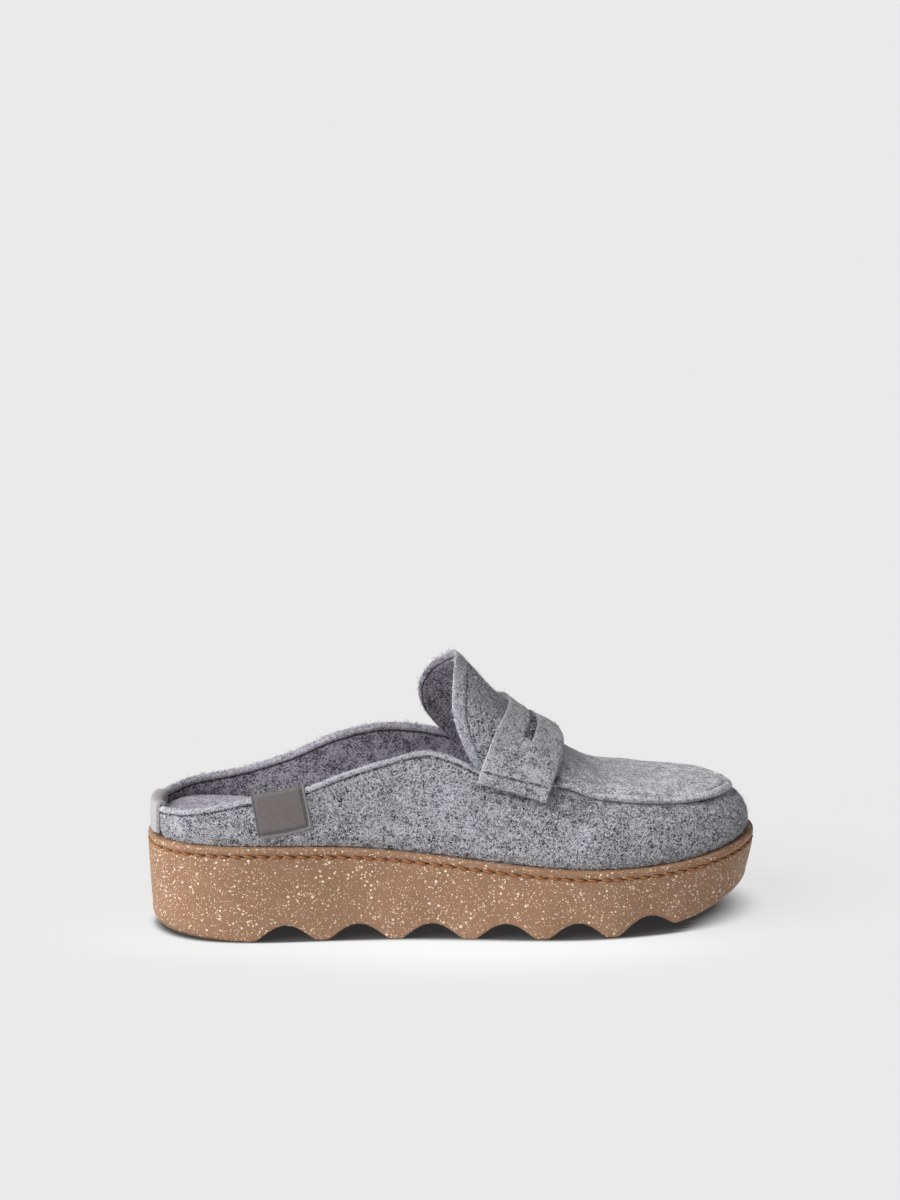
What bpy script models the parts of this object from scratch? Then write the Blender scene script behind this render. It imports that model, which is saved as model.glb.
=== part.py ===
"""Felt penny slipper on a wavy platform sole, for the right foot.

Metres. +X points to the toe, +Y to the inner side of the foot, +Z up.
The origin is the middle of the footprint, on the floor.
The felt pieces are all cut from one function, last_point, which gives the outside of the
upper as sections over the sole's outline: an overlay is the same form made a little larger.
"""
import math

import bmesh
import bpy
import numpy as np

# Driving sizes of the sole
SOLE_LENGTH = 0.265
BALL_WIDTH = 0.098
HEEL_WIDTH = 0.069
HEEL_END_RADIUS = 0.034
TOE_END_RADIUS = 0.036
HEEL_HEIGHT = 0.0418
BALL_HEIGHT = 0.0305
TOE_HEIGHT = 0.0355
TOE_SPRING = 0.0125
WAVE_COUNT = 6
WAVE_PITCH = 0.0310
WAVE_WIDTH = 0.0253
WAVE_DEPTH = 0.0070
FIRST_WAVE = 0.0573
SIDE_TAPER = 0.0030
EDGE_ROLL = 0.0075
EDGE_ROLL_SIDES = 0.17
EDGE_ROLL_TOE = 0.59
GROOVE_DEPTH = 0.0012

# Driving sizes of the welt and the insole
WELT_HEIGHT = 0.0040
WELT_WIDTH = 0.0066
INSOLE_RISE_HEEL = 0.0052
INSOLE_RISE_BALL = 0.0035

# Driving sizes of the felt upper
LEDGE = 0.0025
FELT_WALL = 0.0030
BACK_HEIGHT = 0.0549
COLLAR_PEAK = 0.0825
INSTEP_HEIGHT = 0.1130
TOE_BOX_HEIGHT = 0.0572
PLUG_DROP = 0.0022
PLUG_HEIGHT = TOE_BOX_HEIGHT - PLUG_DROP

# Driving sizes of the pieces on the upper. TONGUE_STEP_START and TONGUE_STEP are climbs in
# radians, STRAP_STEP and TRIM_TURN_IN are shares of the way, LABEL_LEAN is a share of a drop and
# SLOT_FORWARD a share of half the strap's width.
APRON_THICKNESS = 0.0025
APRON_LAP = 0.0021
APRON_BACK = 0.160
TONGUE_THICKNESS = 0.0026
TONGUE_TUCK = 0.0080
TONGUE_REACH = 0.0260
TONGUE_STEP_START = 0.08
TONGUE_STEP = 0.36
STRAP_THICKNESS = 0.0034
STRAP_WIDTH = 0.0245
STRAP_FLARE = 0.0045
STRAP_MIDDLE = 0.1682
STRAP_SWEEP = 0.0150
STRAP_LIFT = 0.0036
STRAP_LIFT_REACH = 0.85
STRAP_LIFT_START = -0.60
STRAP_END_HEIGHT = 0.0630
STRAP_END_TILT = 0.0090
STRAP_HALF_SPAN = 0.0539
STRAP_STEP = 0.70
STRAP_TURN = 1.20
SLOT_LENGTH = 0.060
SLOT_WIDTH = 0.0030
SLOT_FORWARD = -0.10
HEEL_TAB_WIDTH = 0.028
LABEL_START = 0.0430
LABEL_WIDTH = 0.022
LABEL_HEIGHT = 0.0175
LABEL_LEAN = 0.18
TRIM_THICKNESS = 0.0011
TRIM_TURN_IN = 0.70

# Clearance between neighbouring pieces
GAP = 0.0003

# Outline of the sole: share of its length, the width it follows, half width as a share of
# that width, and how far the middle lies to the inner side as a share of that width
OUTLINE = (
    (0.13, HEEL_WIDTH, 0.500, 0.000),
    (0.26, HEEL_WIDTH, 0.515, -0.010),
    (0.38, HEEL_WIDTH, 0.525, -0.015),
    (0.52, BALL_WIDTH, 0.422, -0.005),
    (0.64, BALL_WIDTH, 0.475, 0.008),
    (0.72, BALL_WIDTH, 0.497, 0.028),
    (0.82, BALL_WIDTH, 0.475, 0.052),
    (0.92, BALL_WIDTH, 0.375, 0.072),
)
MIDDLE_AT_TOE = 0.080

# Top of the welt: share of the sole's length, the height it follows, share of that height
SOLE_TOP = (
    (0.00, HEEL_HEIGHT, 1.000),
    (0.20, HEEL_HEIGHT, 0.995),
    (0.34, HEEL_HEIGHT, 0.965),
    (0.46, HEEL_HEIGHT, 0.890),
    (0.58, BALL_HEIGHT, 1.090),
    (0.70, BALL_HEIGHT, 1.000),
    (0.82, BALL_HEIGHT, 1.000),
    (0.92, TOE_HEIGHT, 0.925),
    (1.00, TOE_HEIGHT, 1.000),
)

# Edge of the upper, the collar first and then the seam round the plug: share of the length,
# the height it follows, and its share on the outer and on the inner side
TOPLINE = (
    (0.000, BACK_HEIGHT, 1.000, 1.000),
    (0.060, BACK_HEIGHT, 1.043, 1.046),
    (0.155, BACK_HEIGHT, 1.142, 1.095),
    (0.240, COLLAR_PEAK, 0.806, 0.811),
    (0.313, COLLAR_PEAK, 0.888, 0.915),
    (0.385, COLLAR_PEAK, 0.958, 0.966),
    (0.445, COLLAR_PEAK, 0.995, 0.952),
    (0.490, COLLAR_PEAK, 0.955, 0.918),
    (0.536, COLLAR_PEAK, 0.879, 0.862),
    (0.600, COLLAR_PEAK, 0.818, 0.800),
    (0.660, PLUG_HEIGHT, 1.195, 1.175),
    (0.720, PLUG_HEIGHT, 1.090, 1.080),
    (0.800, PLUG_HEIGHT, 1.032, 1.027),
    (1.000, PLUG_HEIGHT, 0.983, 0.983),
)

# Ridge of the last: share of the length, the height it follows, its share of that height,
# and how square the section is there
RIDGE = (
    (0.000, INSTEP_HEIGHT, 1.200, 2.00),
    (0.300, INSTEP_HEIGHT, 1.200, 2.00),
    (0.450, INSTEP_HEIGHT, 1.110, 2.00),
    (0.506, INSTEP_HEIGHT, 1.000, 2.00),
    (0.581, INSTEP_HEIGHT, 0.818, 2.00),
    (0.626, INSTEP_HEIGHT, 0.728, 2.10),
    (0.675, INSTEP_HEIGHT, 0.631, 2.30),
    (0.705, TOE_BOX_HEIGHT, 1.144, 2.50),
    (0.720, TOE_BOX_HEIGHT, 1.098, 2.65),
    (0.770, TOE_BOX_HEIGHT, 1.034, 2.85),
    (0.840, TOE_BOX_HEIGHT, 0.982, 2.90),
    (1.000, TOE_BOX_HEIGHT, 0.950, 2.90),
)
SPINE_HEEL_END = 0.13
SPINE_HEEL_TURN = 0.30
SPINE_TOE_TURN = 0.60
SPINE_TOE_END = 0.84

# Free edge of the tongue: place across it from outer to inner side, and how far the edge
# stands back from the tongue's root as a share of its reach
TONGUE_EDGE = (
    (-1.00, 0.47),
    (-0.86, 0.88),
    (-0.75, 1.08),
    (-0.64, 1.17),
    (-0.50, 1.15),
    (-0.20, 1.07),
    (0.00, 1.03),
    (0.15, 1.05),
    (0.28, 1.12),
    (0.42, 1.23),
    (0.58, 1.42),
    (0.70, 1.57),
    (0.78, 1.53),
    (0.88, 1.22),
    (1.00, 0.60),
)

# Colours of the finished pieces
TAN_SOLE = (0.34, 0.21, 0.13)
GREY_FELT = (0.25, 0.25, 0.27)
PALE_FELT = (0.42, 0.41, 0.46)
TAUPE_LEATHER = (0.20, 0.17, 0.18)
SILVER_LEATHER = (0.38, 0.37, 0.36)


def smooth_curve(knots, values, at):
    """Cubic through the knots, whose slope at a knot comes from the knots on its two sides."""
    knots = np.asarray(knots, float)
    values = np.asarray(values, float)
    at = np.clip(np.asarray(at, float), knots[0], knots[-1])
    slopes = np.gradient(values, knots)
    span = np.clip(np.searchsorted(knots, at, side="right") - 1, 0, len(knots) - 2)
    width = knots[span + 1] - knots[span]
    t = (at - knots[span]) / width
    start = values[span] * (2 * t**3 - 3 * t**2 + 1) + slopes[span] * width * (t**3 - 2 * t**2 + t)
    end = values[span + 1] * (3 * t**2 - 2 * t**3) + slopes[span + 1] * width * (t**3 - t**2)
    return start + end


def ease(t):
    """Goes from 0 to 1 with no slope at either end."""
    t = np.clip(t, 0.0, 1.0)
    return t * t * (3.0 - 2.0 * t)


def share_of(angle):
    """Share of the sole's length at an angle: 0 at the centre back, pi at the toe tip."""
    return (1.0 - np.cos(angle)) / 2.0


def angle_of(share, side):
    """Angle of a share of the length, on the outer side (-1) or the inner side (1)."""
    angle = np.arccos(np.clip(1.0 - 2.0 * np.asarray(share, float), -1.0, 1.0))
    return np.where(np.asarray(side) > 0, 2.0 * math.pi - angle, angle)


def middle_line(share):
    """How far the middle of the sole lies to the inner side."""
    knots = [0.0] + [row[0] for row in OUTLINE] + [1.0]
    values = [0.0] + [row[1] * row[3] for row in OUTLINE] + [BALL_WIDTH * MIDDLE_AT_TOE]
    return smooth_curve(knots, values, share)


def roundness(share):
    """Half width of the sole over the half width of an ellipse of its length, at a share."""
    knots = [0.0] + [row[0] for row in OUTLINE] + [1.0]
    values = [math.sqrt(HEEL_END_RADIUS * SOLE_LENGTH / 2.0)]
    values += [row[1] * row[2] / (2.0 * math.sqrt(row[0] * (1.0 - row[0]))) for row in OUTLINE]
    values += [math.sqrt(TOE_END_RADIUS * SOLE_LENGTH / 2.0)]
    return smooth_curve(knots, values, share)


def rim(angle):
    """Outline of the sole at an angle, before it is centred on the origin."""
    share = share_of(angle)
    x = SOLE_LENGTH * share
    y = middle_line(share) - np.sin(angle) * roundness(share)
    return np.stack([x, y], axis=-1)


def footprint_centre():
    """Middle of the box round the outline."""
    points = rim(np.linspace(0.0, 2.0 * math.pi, 720))
    return (points.min(axis=0) + points.max(axis=0)) / 2.0


CENTRE = footprint_centre()


def outline(angle, inset):
    """The rim moved inward by the inset, square to itself."""
    angle = np.asarray(angle, float)
    step = 1e-3
    along = rim(angle + step) - rim(angle - step)
    along /= np.linalg.norm(along, axis=-1, keepdims=True)
    inward = np.stack([-along[..., 1], along[..., 0]], axis=-1)
    return rim(angle) + inward * np.asarray(inset)[..., None]


def welt_top(x):
    """Height of the welt's top, where the felt stands, at a distance from the heel."""
    heights = [row[1] * row[2] for row in SOLE_TOP]
    return smooth_curve([row[0] for row in SOLE_TOP], heights, x / SOLE_LENGTH)


def groove_height(x):
    """Top of the outsole, in the stitched groove under the welt."""
    return welt_top(x) - WELT_HEIGHT


def tread(x):
    """Underside of the outsole: flat, cut by rounded arches, and rising to the toe."""
    last_foot = FIRST_WAVE + (WAVE_COUNT - 1.5) * WAVE_PITCH
    rise = np.clip((x - last_foot) / (SOLE_LENGTH - last_foot), 0.0, 1.0)
    spring = TOE_SPRING * rise**1.5
    place = (x - FIRST_WAVE) / WAVE_PITCH
    nearest = np.clip(np.round(place), 0, WAVE_COUNT - 1)
    across = np.clip((place - nearest) * WAVE_PITCH / (WAVE_WIDTH / 2.0), -1.0, 1.0)
    return spring + WAVE_DEPTH * np.cos(across * math.pi / 2.0)


def edge_roll(x):
    """Size of the rounding along the sole's lower edge, full at the back and at the toe."""
    flat_heel = FIRST_WAVE - WAVE_WIDTH / 2.0
    back = 1.0 - ease(x / flat_heel)
    front = ease((x - 0.80 * SOLE_LENGTH) / (0.20 * SOLE_LENGTH))
    at_heel = EDGE_ROLL_SIDES + (1.0 - EDGE_ROLL_SIDES) * back
    at_toe = EDGE_ROLL_SIDES + (EDGE_ROLL_TOE - EDGE_ROLL_SIDES) * front
    return EDGE_ROLL * np.maximum(at_heel, at_toe)


def taper(x):
    """How far the sole's foot lies inside its rim: more toward the toe."""
    return SIDE_TAPER * (0.5 + 0.5 * ease(x / SOLE_LENGTH))


def ridge_height(share):
    """Height of the last's ridge."""
    return smooth_curve([row[0] for row in RIDGE], [row[1] * row[2] for row in RIDGE], share)


def squareness(share):
    """Power of the last's section: 2 is an ellipse, more is squarer."""
    return smooth_curve([row[0] for row in RIDGE], [row[3] for row in RIDGE], share)


def spine(share):
    """Share of the length where the ridge serves a section: it stops short of both ends."""
    heel = np.clip((SPINE_HEEL_TURN - share) / SPINE_HEEL_TURN, 0.0, 1.0)
    toe = np.clip((share - SPINE_TOE_TURN) / (1.0 - SPINE_TOE_TURN), 0.0, 1.0)
    back = (SPINE_HEEL_TURN - SPINE_HEEL_END) * np.sin(heel * math.pi / 2.0)
    front = (SPINE_TOE_END - SPINE_TOE_TURN) * np.sin(toe * math.pi / 2.0)
    inner = np.clip(share, SPINE_HEEL_TURN, SPINE_TOE_TURN)
    return inner - back + front


def section(angle, offset):
    """Foot point, ridge point and power of the last's section at an angle, grown by offset."""
    on_spine = spine(share_of(angle))
    foot = outline(angle, LEDGE - offset)
    foot = np.concatenate([foot, (welt_top(foot[..., 0]) + GAP)[..., None]], axis=-1)
    height = ridge_height(on_spine) + offset
    crest = np.stack([SOLE_LENGTH * on_spine, middle_line(on_spine), height], axis=-1)
    return foot, crest, squareness(on_spine)


def last_point(angle, climb, offset):
    """Point of the last: climb 0 is at the sole, pi / 2 on the ridge, along a superellipse."""
    angle, climb, offset = np.broadcast_arrays(angle, climb, offset)
    foot, crest, power = section(angle, offset)
    out = np.clip(np.cos(climb), 0.0, 1.0) ** (2.0 / power)
    up = np.clip(np.sin(climb), 0.0, 1.0) ** (2.0 / power)
    flat = crest[..., :2] + out[..., None] * (foot[..., :2] - crest[..., :2])
    z = foot[..., 2] + up * (crest[..., 2] - foot[..., 2])
    return np.concatenate([flat, z[..., None]], axis=-1)


def climb_to(angle, height):
    """Climb at which the last reaches a height."""
    foot, crest, power = section(np.asarray(angle, float), 0.0)
    up = np.clip((height - foot[..., 2]) / (crest[..., 2] - foot[..., 2]), 0.0, 1.0)
    return np.arcsin(up ** (power / 2.0))


def topline_height(angle):
    """Height of the upper's edge at an angle."""
    shares = [row[0] for row in TOPLINE]
    outer = smooth_curve(shares, [row[1] * row[2] for row in TOPLINE], share_of(angle))
    inner = smooth_curve(shares, [row[1] * row[3] for row in TOPLINE], share_of(angle))
    return np.where(np.sin(angle) >= 0.0, outer, inner)


def edge_climb(angle, drop=0.0):
    """Climb of the upper's edge, or of a line that lies lower by drop."""
    return climb_to(angle, topline_height(angle) - drop)


def finish(name, colour, roughness):
    """Plain material of one piece."""
    material = bpy.data.materials.new(name)
    material.use_nodes = True
    shader = material.node_tree.nodes["Principled BSDF"]
    shader.inputs["Base Color"].default_value = (*colour, 1.0)
    shader.inputs["Roughness"].default_value = roughness
    shader.inputs["Metallic"].default_value = 0.0
    material.diffuse_color = (*colour, 1.0)
    return material


def solid(name, points, faces, colour, roughness, collection, crease=35.0):
    """Object from a list of points and faces, centred on the footprint, doubles merged."""
    points = np.asarray(points, float) - np.array([CENTRE[0], CENTRE[1], 0.0])
    mesh = bpy.data.meshes.new(name)
    mesh.from_pydata(points.tolist(), [], faces)
    work = bmesh.new()
    work.from_mesh(mesh)
    bmesh.ops.remove_doubles(work, verts=work.verts, dist=1e-6)
    bmesh.ops.dissolve_degenerate(work, dist=1e-7, edges=work.edges)
    bmesh.ops.recalc_face_normals(work, faces=work.faces)
    work.to_mesh(mesh)
    work.free()
    mesh.shade_smooth()
    mesh.set_sharp_from_angle(angle=math.radians(crease))
    mesh.materials.append(finish(name, colour, roughness))
    piece = bpy.data.objects.new(name, mesh)
    collection.objects.link(piece)
    return piece


def ring_angles(shares):
    """Angles once round the shoe through the given shares, the same on both sides."""
    outer = angle_of(shares, -1)
    inner = angle_of(shares[1:-1], 1)[::-1]
    return np.concatenate([outer, inner])


def ring_faces(rows, count, wraps):
    """Side faces of rings stacked on each other; wraps joins the last ring to the first."""
    faces = []
    for row in range(rows if wraps else rows - 1):
        above = (row + 1) % rows
        for i in range(count):
            j = (i + 1) % count
            faces.append((row * count + i, row * count + j, above * count + j, above * count + i))
    return faces


def strip_faces(start, count, upward):
    """Faces that fill a ring by strips from its outer side to its inner side."""
    faces = []
    for i in range(count // 2):
        face = [i, i + 1, count - i - 1, (count - i) % count]
        face = [start + corner for k, corner in enumerate(face) if corner not in face[:k]]
        faces.append(tuple(face if upward else face[::-1]))
    return faces


def stacked(name, rings, colour, roughness, collection, crease=35.0):
    """Closed solid of rings from bottom to top, its two ends filled by strips."""
    rows, count, _ = rings.shape
    faces = ring_faces(rows, count, False)
    faces += strip_faces(0, count, False)
    faces += strip_faces((rows - 1) * count, count, True)
    return solid(name, rings.reshape(-1, 3), faces, colour, roughness, collection, crease)


def looped(name, rings, colour, roughness, collection, crease=35.0):
    """Closed band whose section runs through the rings and back to the first."""
    rows, count, _ = rings.shape
    faces = ring_faces(rows, count, True)
    return solid(name, rings.reshape(-1, 3), faces, colour, roughness, collection, crease)


def sheet(name, outside, inside, colour, roughness, collection, folded=False, crease=35.0):
    """Closed sheet between two grids of points. A folded sheet has no rim at its last row."""
    rows, columns, _ = outside.shape
    back = rows * columns
    faces = []
    for row in range(rows - 1):
        for column in range(columns - 1):
            corner = row * columns + column
            quad = (corner, corner + 1, corner + columns + 1, corner + columns)
            faces.append(quad)
            faces.append(tuple(back + k for k in quad[::-1]))
    first = list(range(columns))
    last = [(rows - 1) * columns + k for k in range(columns)]
    left = [k * columns for k in range(rows)]
    right = [k * columns + columns - 1 for k in range(rows)]
    rims = [first[::-1], left, right[::-1]]
    if not folded:
        rims.append(last)
    for edge in rims:
        for a, b in zip(edge, edge[1:]):
            faces.append((a, b, back + b, back + a))
    points = np.concatenate([outside.reshape(-1, 3), inside.reshape(-1, 3)])
    return solid(name, points, faces, colour, roughness, collection, crease)


def raised(flat, z):
    """Outline points with their heights."""
    return np.concatenate([flat, np.asarray(z)[..., None]], axis=-1)


def round_shares(count):
    """Shares that are close together at the heel and at the toe."""
    return share_of(np.linspace(0.0, math.pi, count))


def sole_shares():
    """Shares of the outsole's sections: round ends, and enough for each arch."""
    half = WAVE_WIDTH / 2.0
    first = (FIRST_WAVE - half) / SOLE_LENGTH
    last = (FIRST_WAVE + (WAVE_COUNT - 1) * WAVE_PITCH + half) / SOLE_LENGTH
    steps = np.sin(np.linspace(-math.pi / 2.0, math.pi / 2.0, 9))
    waves = [(FIRST_WAVE + k * WAVE_PITCH + half * steps) / SOLE_LENGTH for k in range(WAVE_COUNT)]
    ends = round_shares(40)
    heel = ends[ends < first - 0.006]
    toe = ends[ends > last + 0.006]
    return np.concatenate([heel, *waves, toe])


def make_outsole(collection):
    """Platform: its foot is rolled in, its side bulges a little and turns in at the groove."""
    angles = ring_angles(sole_shares())
    x = rim(angles)[:, 0]
    roll = edge_roll(x)
    lean = taper(x)
    rings = []
    for inward, lift in ((1.0, 0.0), (0.30, 0.30), (0.0, 1.0)):
        flat = outline(angles, lean + inward * roll)
        rings.append(raised(flat, tread(x) + lift * roll))
    for part, bulge in ((0.45, 0.30), (0.86, 0.0)):
        flat = outline(angles, lean * bulge + 0.25 * GROOVE_DEPTH)
        low = tread(x) + roll
        rings.append(raised(flat, low + part * (groove_height(flat[:, 0]) - low)))
    flat = outline(angles, np.full_like(x, GROOVE_DEPTH))
    rings.append(raised(flat, groove_height(flat[:, 0])))
    return stacked("outsole", np.array(rings), TAN_SOLE, 0.75, collection, 40.0)


def make_welt(collection):
    """Band on the sole: a rounded outer face, a flat top for the felt and a plain inner face."""
    angles = ring_angles(round_shares(50))
    rings = []
    profile = (
        (WELT_WIDTH, 0.0),
        (GROOVE_DEPTH, 0.0),
        (0.15 * GROOVE_DEPTH, 0.30),
        (0.0, 0.65),
        (0.50 * GROOVE_DEPTH, 1.0),
        (WELT_WIDTH, 1.0),
    )
    for inset, part in profile:
        flat = outline(angles, np.full_like(angles, inset))
        low = groove_height(flat[:, 0]) + GAP
        rings.append(raised(flat, low + part * (WELT_HEIGHT - GAP)))
    return looped("welt", np.array(rings), TAN_SOLE, 0.75, collection, 40.0)


def insole_top(x):
    """Height of the footbed: thick at the heel, thinner from the ball on."""
    blend = ease((x - 0.25 * SOLE_LENGTH) / (0.40 * SOLE_LENGTH))
    return welt_top(x) + INSOLE_RISE_HEEL + (INSOLE_RISE_BALL - INSOLE_RISE_HEEL) * blend


def make_insole(collection):
    """Footbed inside the welt, with a soft upper edge."""
    angles = ring_angles(round_shares(30))
    edge = WELT_WIDTH + GAP
    soft = 0.35 * INSOLE_RISE_BALL
    flat = outline(angles, np.full_like(angles, edge))
    rings = [raised(flat, groove_height(flat[:, 0]) + GAP)]
    for inward, drop in ((0.0, 1.0), (0.35, 0.30), (1.0, 0.0)):
        flat = outline(angles, np.full_like(angles, edge + inward * soft))
        rings.append(raised(flat, insole_top(flat[:, 0]) - drop * soft))
    return stacked("insole", np.array(rings), PALE_FELT, 0.95, collection, 40.0)


def make_upper(collection):
    """Hollow felt wall: outside from the welt to the edge, and inside down again."""
    angles = ring_angles(round_shares(52))
    climbs = np.linspace(0.0, 1.0, 9)
    top = edge_climb(angles)
    rings = [last_point(angles, part * top, 0.0) for part in climbs]
    rings += [last_point(angles, part * top, -FELT_WALL) for part in climbs[::-1]]
    return looped("upper", np.array(rings), GREY_FELT, 0.95, collection, 50.0)


def across_grid(shares, columns, low_climb):
    """Angles and climbs of a patch over the ridge, for each share and place across it."""
    place = np.linspace(-1.0, 1.0, columns)
    shares = np.broadcast_to(shares[:, None], (len(shares), columns))
    angles = angle_of(shares, np.where(place > 0.0, 1, -1)[None, :])
    reach = math.pi / 2.0 - low_climb(angles)
    return angles, math.pi / 2.0 - np.abs(place)[None, :] * reach


def make_apron(collection):
    """Plug over the front opening: it laps over the edge of the upper all round the toe."""
    start = APRON_BACK / SOLE_LENGTH
    ends = round_shares(64)
    shares = np.concatenate([[start], ends[ends > start + 0.008]])
    angles, climbs = across_grid(shares, 21, lambda a: edge_climb(a, APRON_LAP))
    outside = last_point(angles, climbs, GAP + APRON_THICKNESS)
    inside = last_point(angles, climbs, GAP)
    return sheet("apron", outside, inside, GREY_FELT, 0.95, collection, folded=True, crease=60.0)


def make_tongue(collection):
    """Arched sheet behind the apron: level with it on the ridge, inside the wall at its sides."""
    columns = 25
    place = np.linspace(-1.0, 1.0, columns)
    reach = TONGUE_REACH * smooth_curve(*zip(*TONGUE_EDGE), place)
    root = APRON_BACK - 2.0 * GAP
    steps = np.linspace(0.0, 1.0, 9)
    shares = (root - steps[:, None] * reach[None, :]) / SOLE_LENGTH
    angles = angle_of(shares, np.where(place > 0.0, 1, -1)[None, :])
    edge = edge_climb(angles)
    low = edge_climb(angles, TONGUE_TUCK)
    climbs = math.pi / 2.0 - np.abs(place)[None, :] * (math.pi / 2.0 - low)
    inside_wall = -FELT_WALL - GAP
    over = GAP + APRON_THICKNESS
    stepped = ease((climbs - edge - TONGUE_STEP_START) / TONGUE_STEP)
    level = inside_wall + (over - inside_wall) * stepped
    outside = last_point(angles, climbs, level)
    inside = last_point(angles, climbs, level - TONGUE_THICKNESS)
    return sheet("tongue", outside, inside, GREY_FELT, 0.95, collection, crease=60.0)


def strap_patch(place, along, low_offset, high_offset):
    """Two grids over the instep at places across it and along its width, at two offsets.

    place runs from the outer end (-1) over the ridge (0) to the inner end (1). The strap's
    ends are wider than its middle and lie further back, and its front edge stands off the
    apron over the ridge.
    """
    place, along = np.meshgrid(place, along)
    toward_end = (1.0 - np.cos(STRAP_TURN * np.abs(place))) / (1.0 - math.cos(STRAP_TURN))
    width = STRAP_WIDTH + STRAP_FLARE * toward_end
    share = (STRAP_MIDDLE - STRAP_SWEEP * toward_end + along * width / 2.0) / SOLE_LENGTH
    angles = angle_of(share, np.where(place > 0.0, 1, -1))
    low = climb_to(angles, STRAP_END_HEIGHT - along * STRAP_END_TILT / 2.0)
    climbs = math.pi / 2.0 - np.abs(place) * (math.pi / 2.0 - low)
    lap = edge_climb(angles, APRON_LAP)
    over = ease((climbs - low) / np.maximum(lap - low, 1e-6) / STRAP_STEP)
    forward = ease((along - STRAP_LIFT_START) / (1.0 - STRAP_LIFT_START))
    lift = STRAP_LIFT * (1.0 - ease(np.abs(place) / STRAP_LIFT_REACH)) * forward
    step = GAP + (APRON_THICKNESS + GAP) * over + lift
    outside = last_point(angles, climbs, step + high_offset)
    inside = last_point(angles, climbs, step + low_offset)
    return outside, inside


def make_strap(collection, cutters):
    """Thick felt band over the instep, with a slot cut through its middle."""
    places = np.sin(np.linspace(-math.pi / 2.0, math.pi / 2.0, 39))
    outside, inside = strap_patch(places, np.linspace(-1.0, 1.0, 5), 0.0, STRAP_THICKNESS)
    strap = sheet("saddle_strap", outside, inside, GREY_FELT, 0.95, collection, crease=60.0)
    half = SLOT_LENGTH / 2.0 / STRAP_HALF_SPAN
    past = 0.7 * STRAP_THICKNESS
    slot_places = np.linspace(-half, half, 13)
    slot_along = SLOT_FORWARD + np.linspace(-1.0, 1.0, 3) * SLOT_WIDTH / STRAP_WIDTH
    above, below = strap_patch(slot_places, slot_along, -past, STRAP_THICKNESS + past)
    cutter = sheet("slot_cutter", above, below, GREY_FELT, 0.95, cutters)
    cutter.hide_render = True
    cutter.display_type = "WIRE"
    cut = strap.modifiers.new("slot", "BOOLEAN")
    cut.operation = "DIFFERENCE"
    cut.solver = "EXACT"
    cut.object = cutter
    return strap


def folded_section(reach, outer_drop, inner_drop):
    """Offset, drop and lift along a face folded over the upper's edge, off the felt by reach."""
    inside = -FELT_WALL - reach
    return (
        (reach, outer_drop, 0.0),
        (reach, outer_drop / 2.0, 0.0),
        (reach, 0.0, 0.0),
        (0.6 * reach, 0.0, 0.8 * reach),
        (0.0, 0.0, reach),
        (-FELT_WALL, 0.0, reach),
        (-FELT_WALL - 0.6 * reach, 0.0, 0.8 * reach),
        (inside, 0.0, 0.0),
        (inside, inner_drop / 2.0, 0.0),
        (inside, inner_drop, 0.0),
    )


def wall_strip(name, shares, sides, outer_drop, inner_drop, lean, colour, collection):
    """Strip folded over the upper's edge: down the outside, over the edge, down the inside.

    outer_drop and inner_drop are how far it comes down, and lean moves its lower end toward
    the toe as a share of the drop.
    """
    grids = []
    for reach in (GAP + TRIM_THICKNESS, GAP):
        rows = []
        for offset, drop, lift in folded_section(reach, outer_drop, inner_drop):
            angles = angle_of(shares + lean * drop / SOLE_LENGTH, sides)
            climbs = edge_climb(angles, drop)
            rows.append(last_point(angles, climbs, offset) + np.array([0.0, 0.0, lift]))
        grids.append(np.array(rows))
    return sheet(name, grids[0], grids[1], colour, 0.6, collection, crease=50.0)


def make_heel_tab(collection):
    """Smooth strip over the centre back, down to the welt outside."""
    reach = HEEL_TAB_WIDTH / math.sqrt(2.0 * HEEL_END_RADIUS * SOLE_LENGTH)
    around = np.linspace(-reach, reach, 9)
    sides = np.where(around > 0.0, 1, -1)
    drop = BACK_HEIGHT - HEEL_HEIGHT - 2.0 * GAP
    turn_in = TRIM_TURN_IN * (BACK_HEIGHT - float(insole_top(0.0)))
    return wall_strip("heel_tab", share_of(around), sides, drop, turn_in, 0.0,
                      SILVER_LEATHER, collection)


def make_label(collection):
    """Soft label over the collar on the outer side, leaning with the topline."""
    start = LABEL_START / SOLE_LENGTH
    shares = np.linspace(start, start + LABEL_WIDTH / SOLE_LENGTH, 7)
    sides = np.full(7, -1)
    room = float(topline_height(angle_of(start, -1)) - insole_top(LABEL_START))
    return wall_strip("side_label", shares, sides, LABEL_HEIGHT, TRIM_TURN_IN * room, LABEL_LEAN,
                      TAUPE_LEATHER, collection)


def main():
    """Clears the scene and makes every piece."""
    for item in list(bpy.data.objects):
        bpy.data.objects.remove(item)
    slipper = bpy.data.collections.new("felt_slipper")
    cutters = bpy.data.collections.new("cutters")
    bpy.context.scene.collection.children.link(slipper)
    bpy.context.scene.collection.children.link(cutters)
    make_outsole(slipper)
    make_welt(slipper)
    make_insole(slipper)
    make_upper(slipper)
    make_apron(slipper)
    make_tongue(slipper)
    make_strap(slipper, cutters)
    make_heel_tab(slipper)
    make_label(slipper)


main()
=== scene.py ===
"""Looks of the felt slipper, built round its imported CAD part.

Metres. +X points to the toe, +Y to the inner side of the foot, +Z up, origin in the middle of
the footprint. Every piece is a fine surface worked out from the same functions as the part:
last_point gives the felt as sections over the sole's outline, and the distance from a piece's
own edge places its rolled margin, its seam and its rounding.
"""
import math

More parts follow.
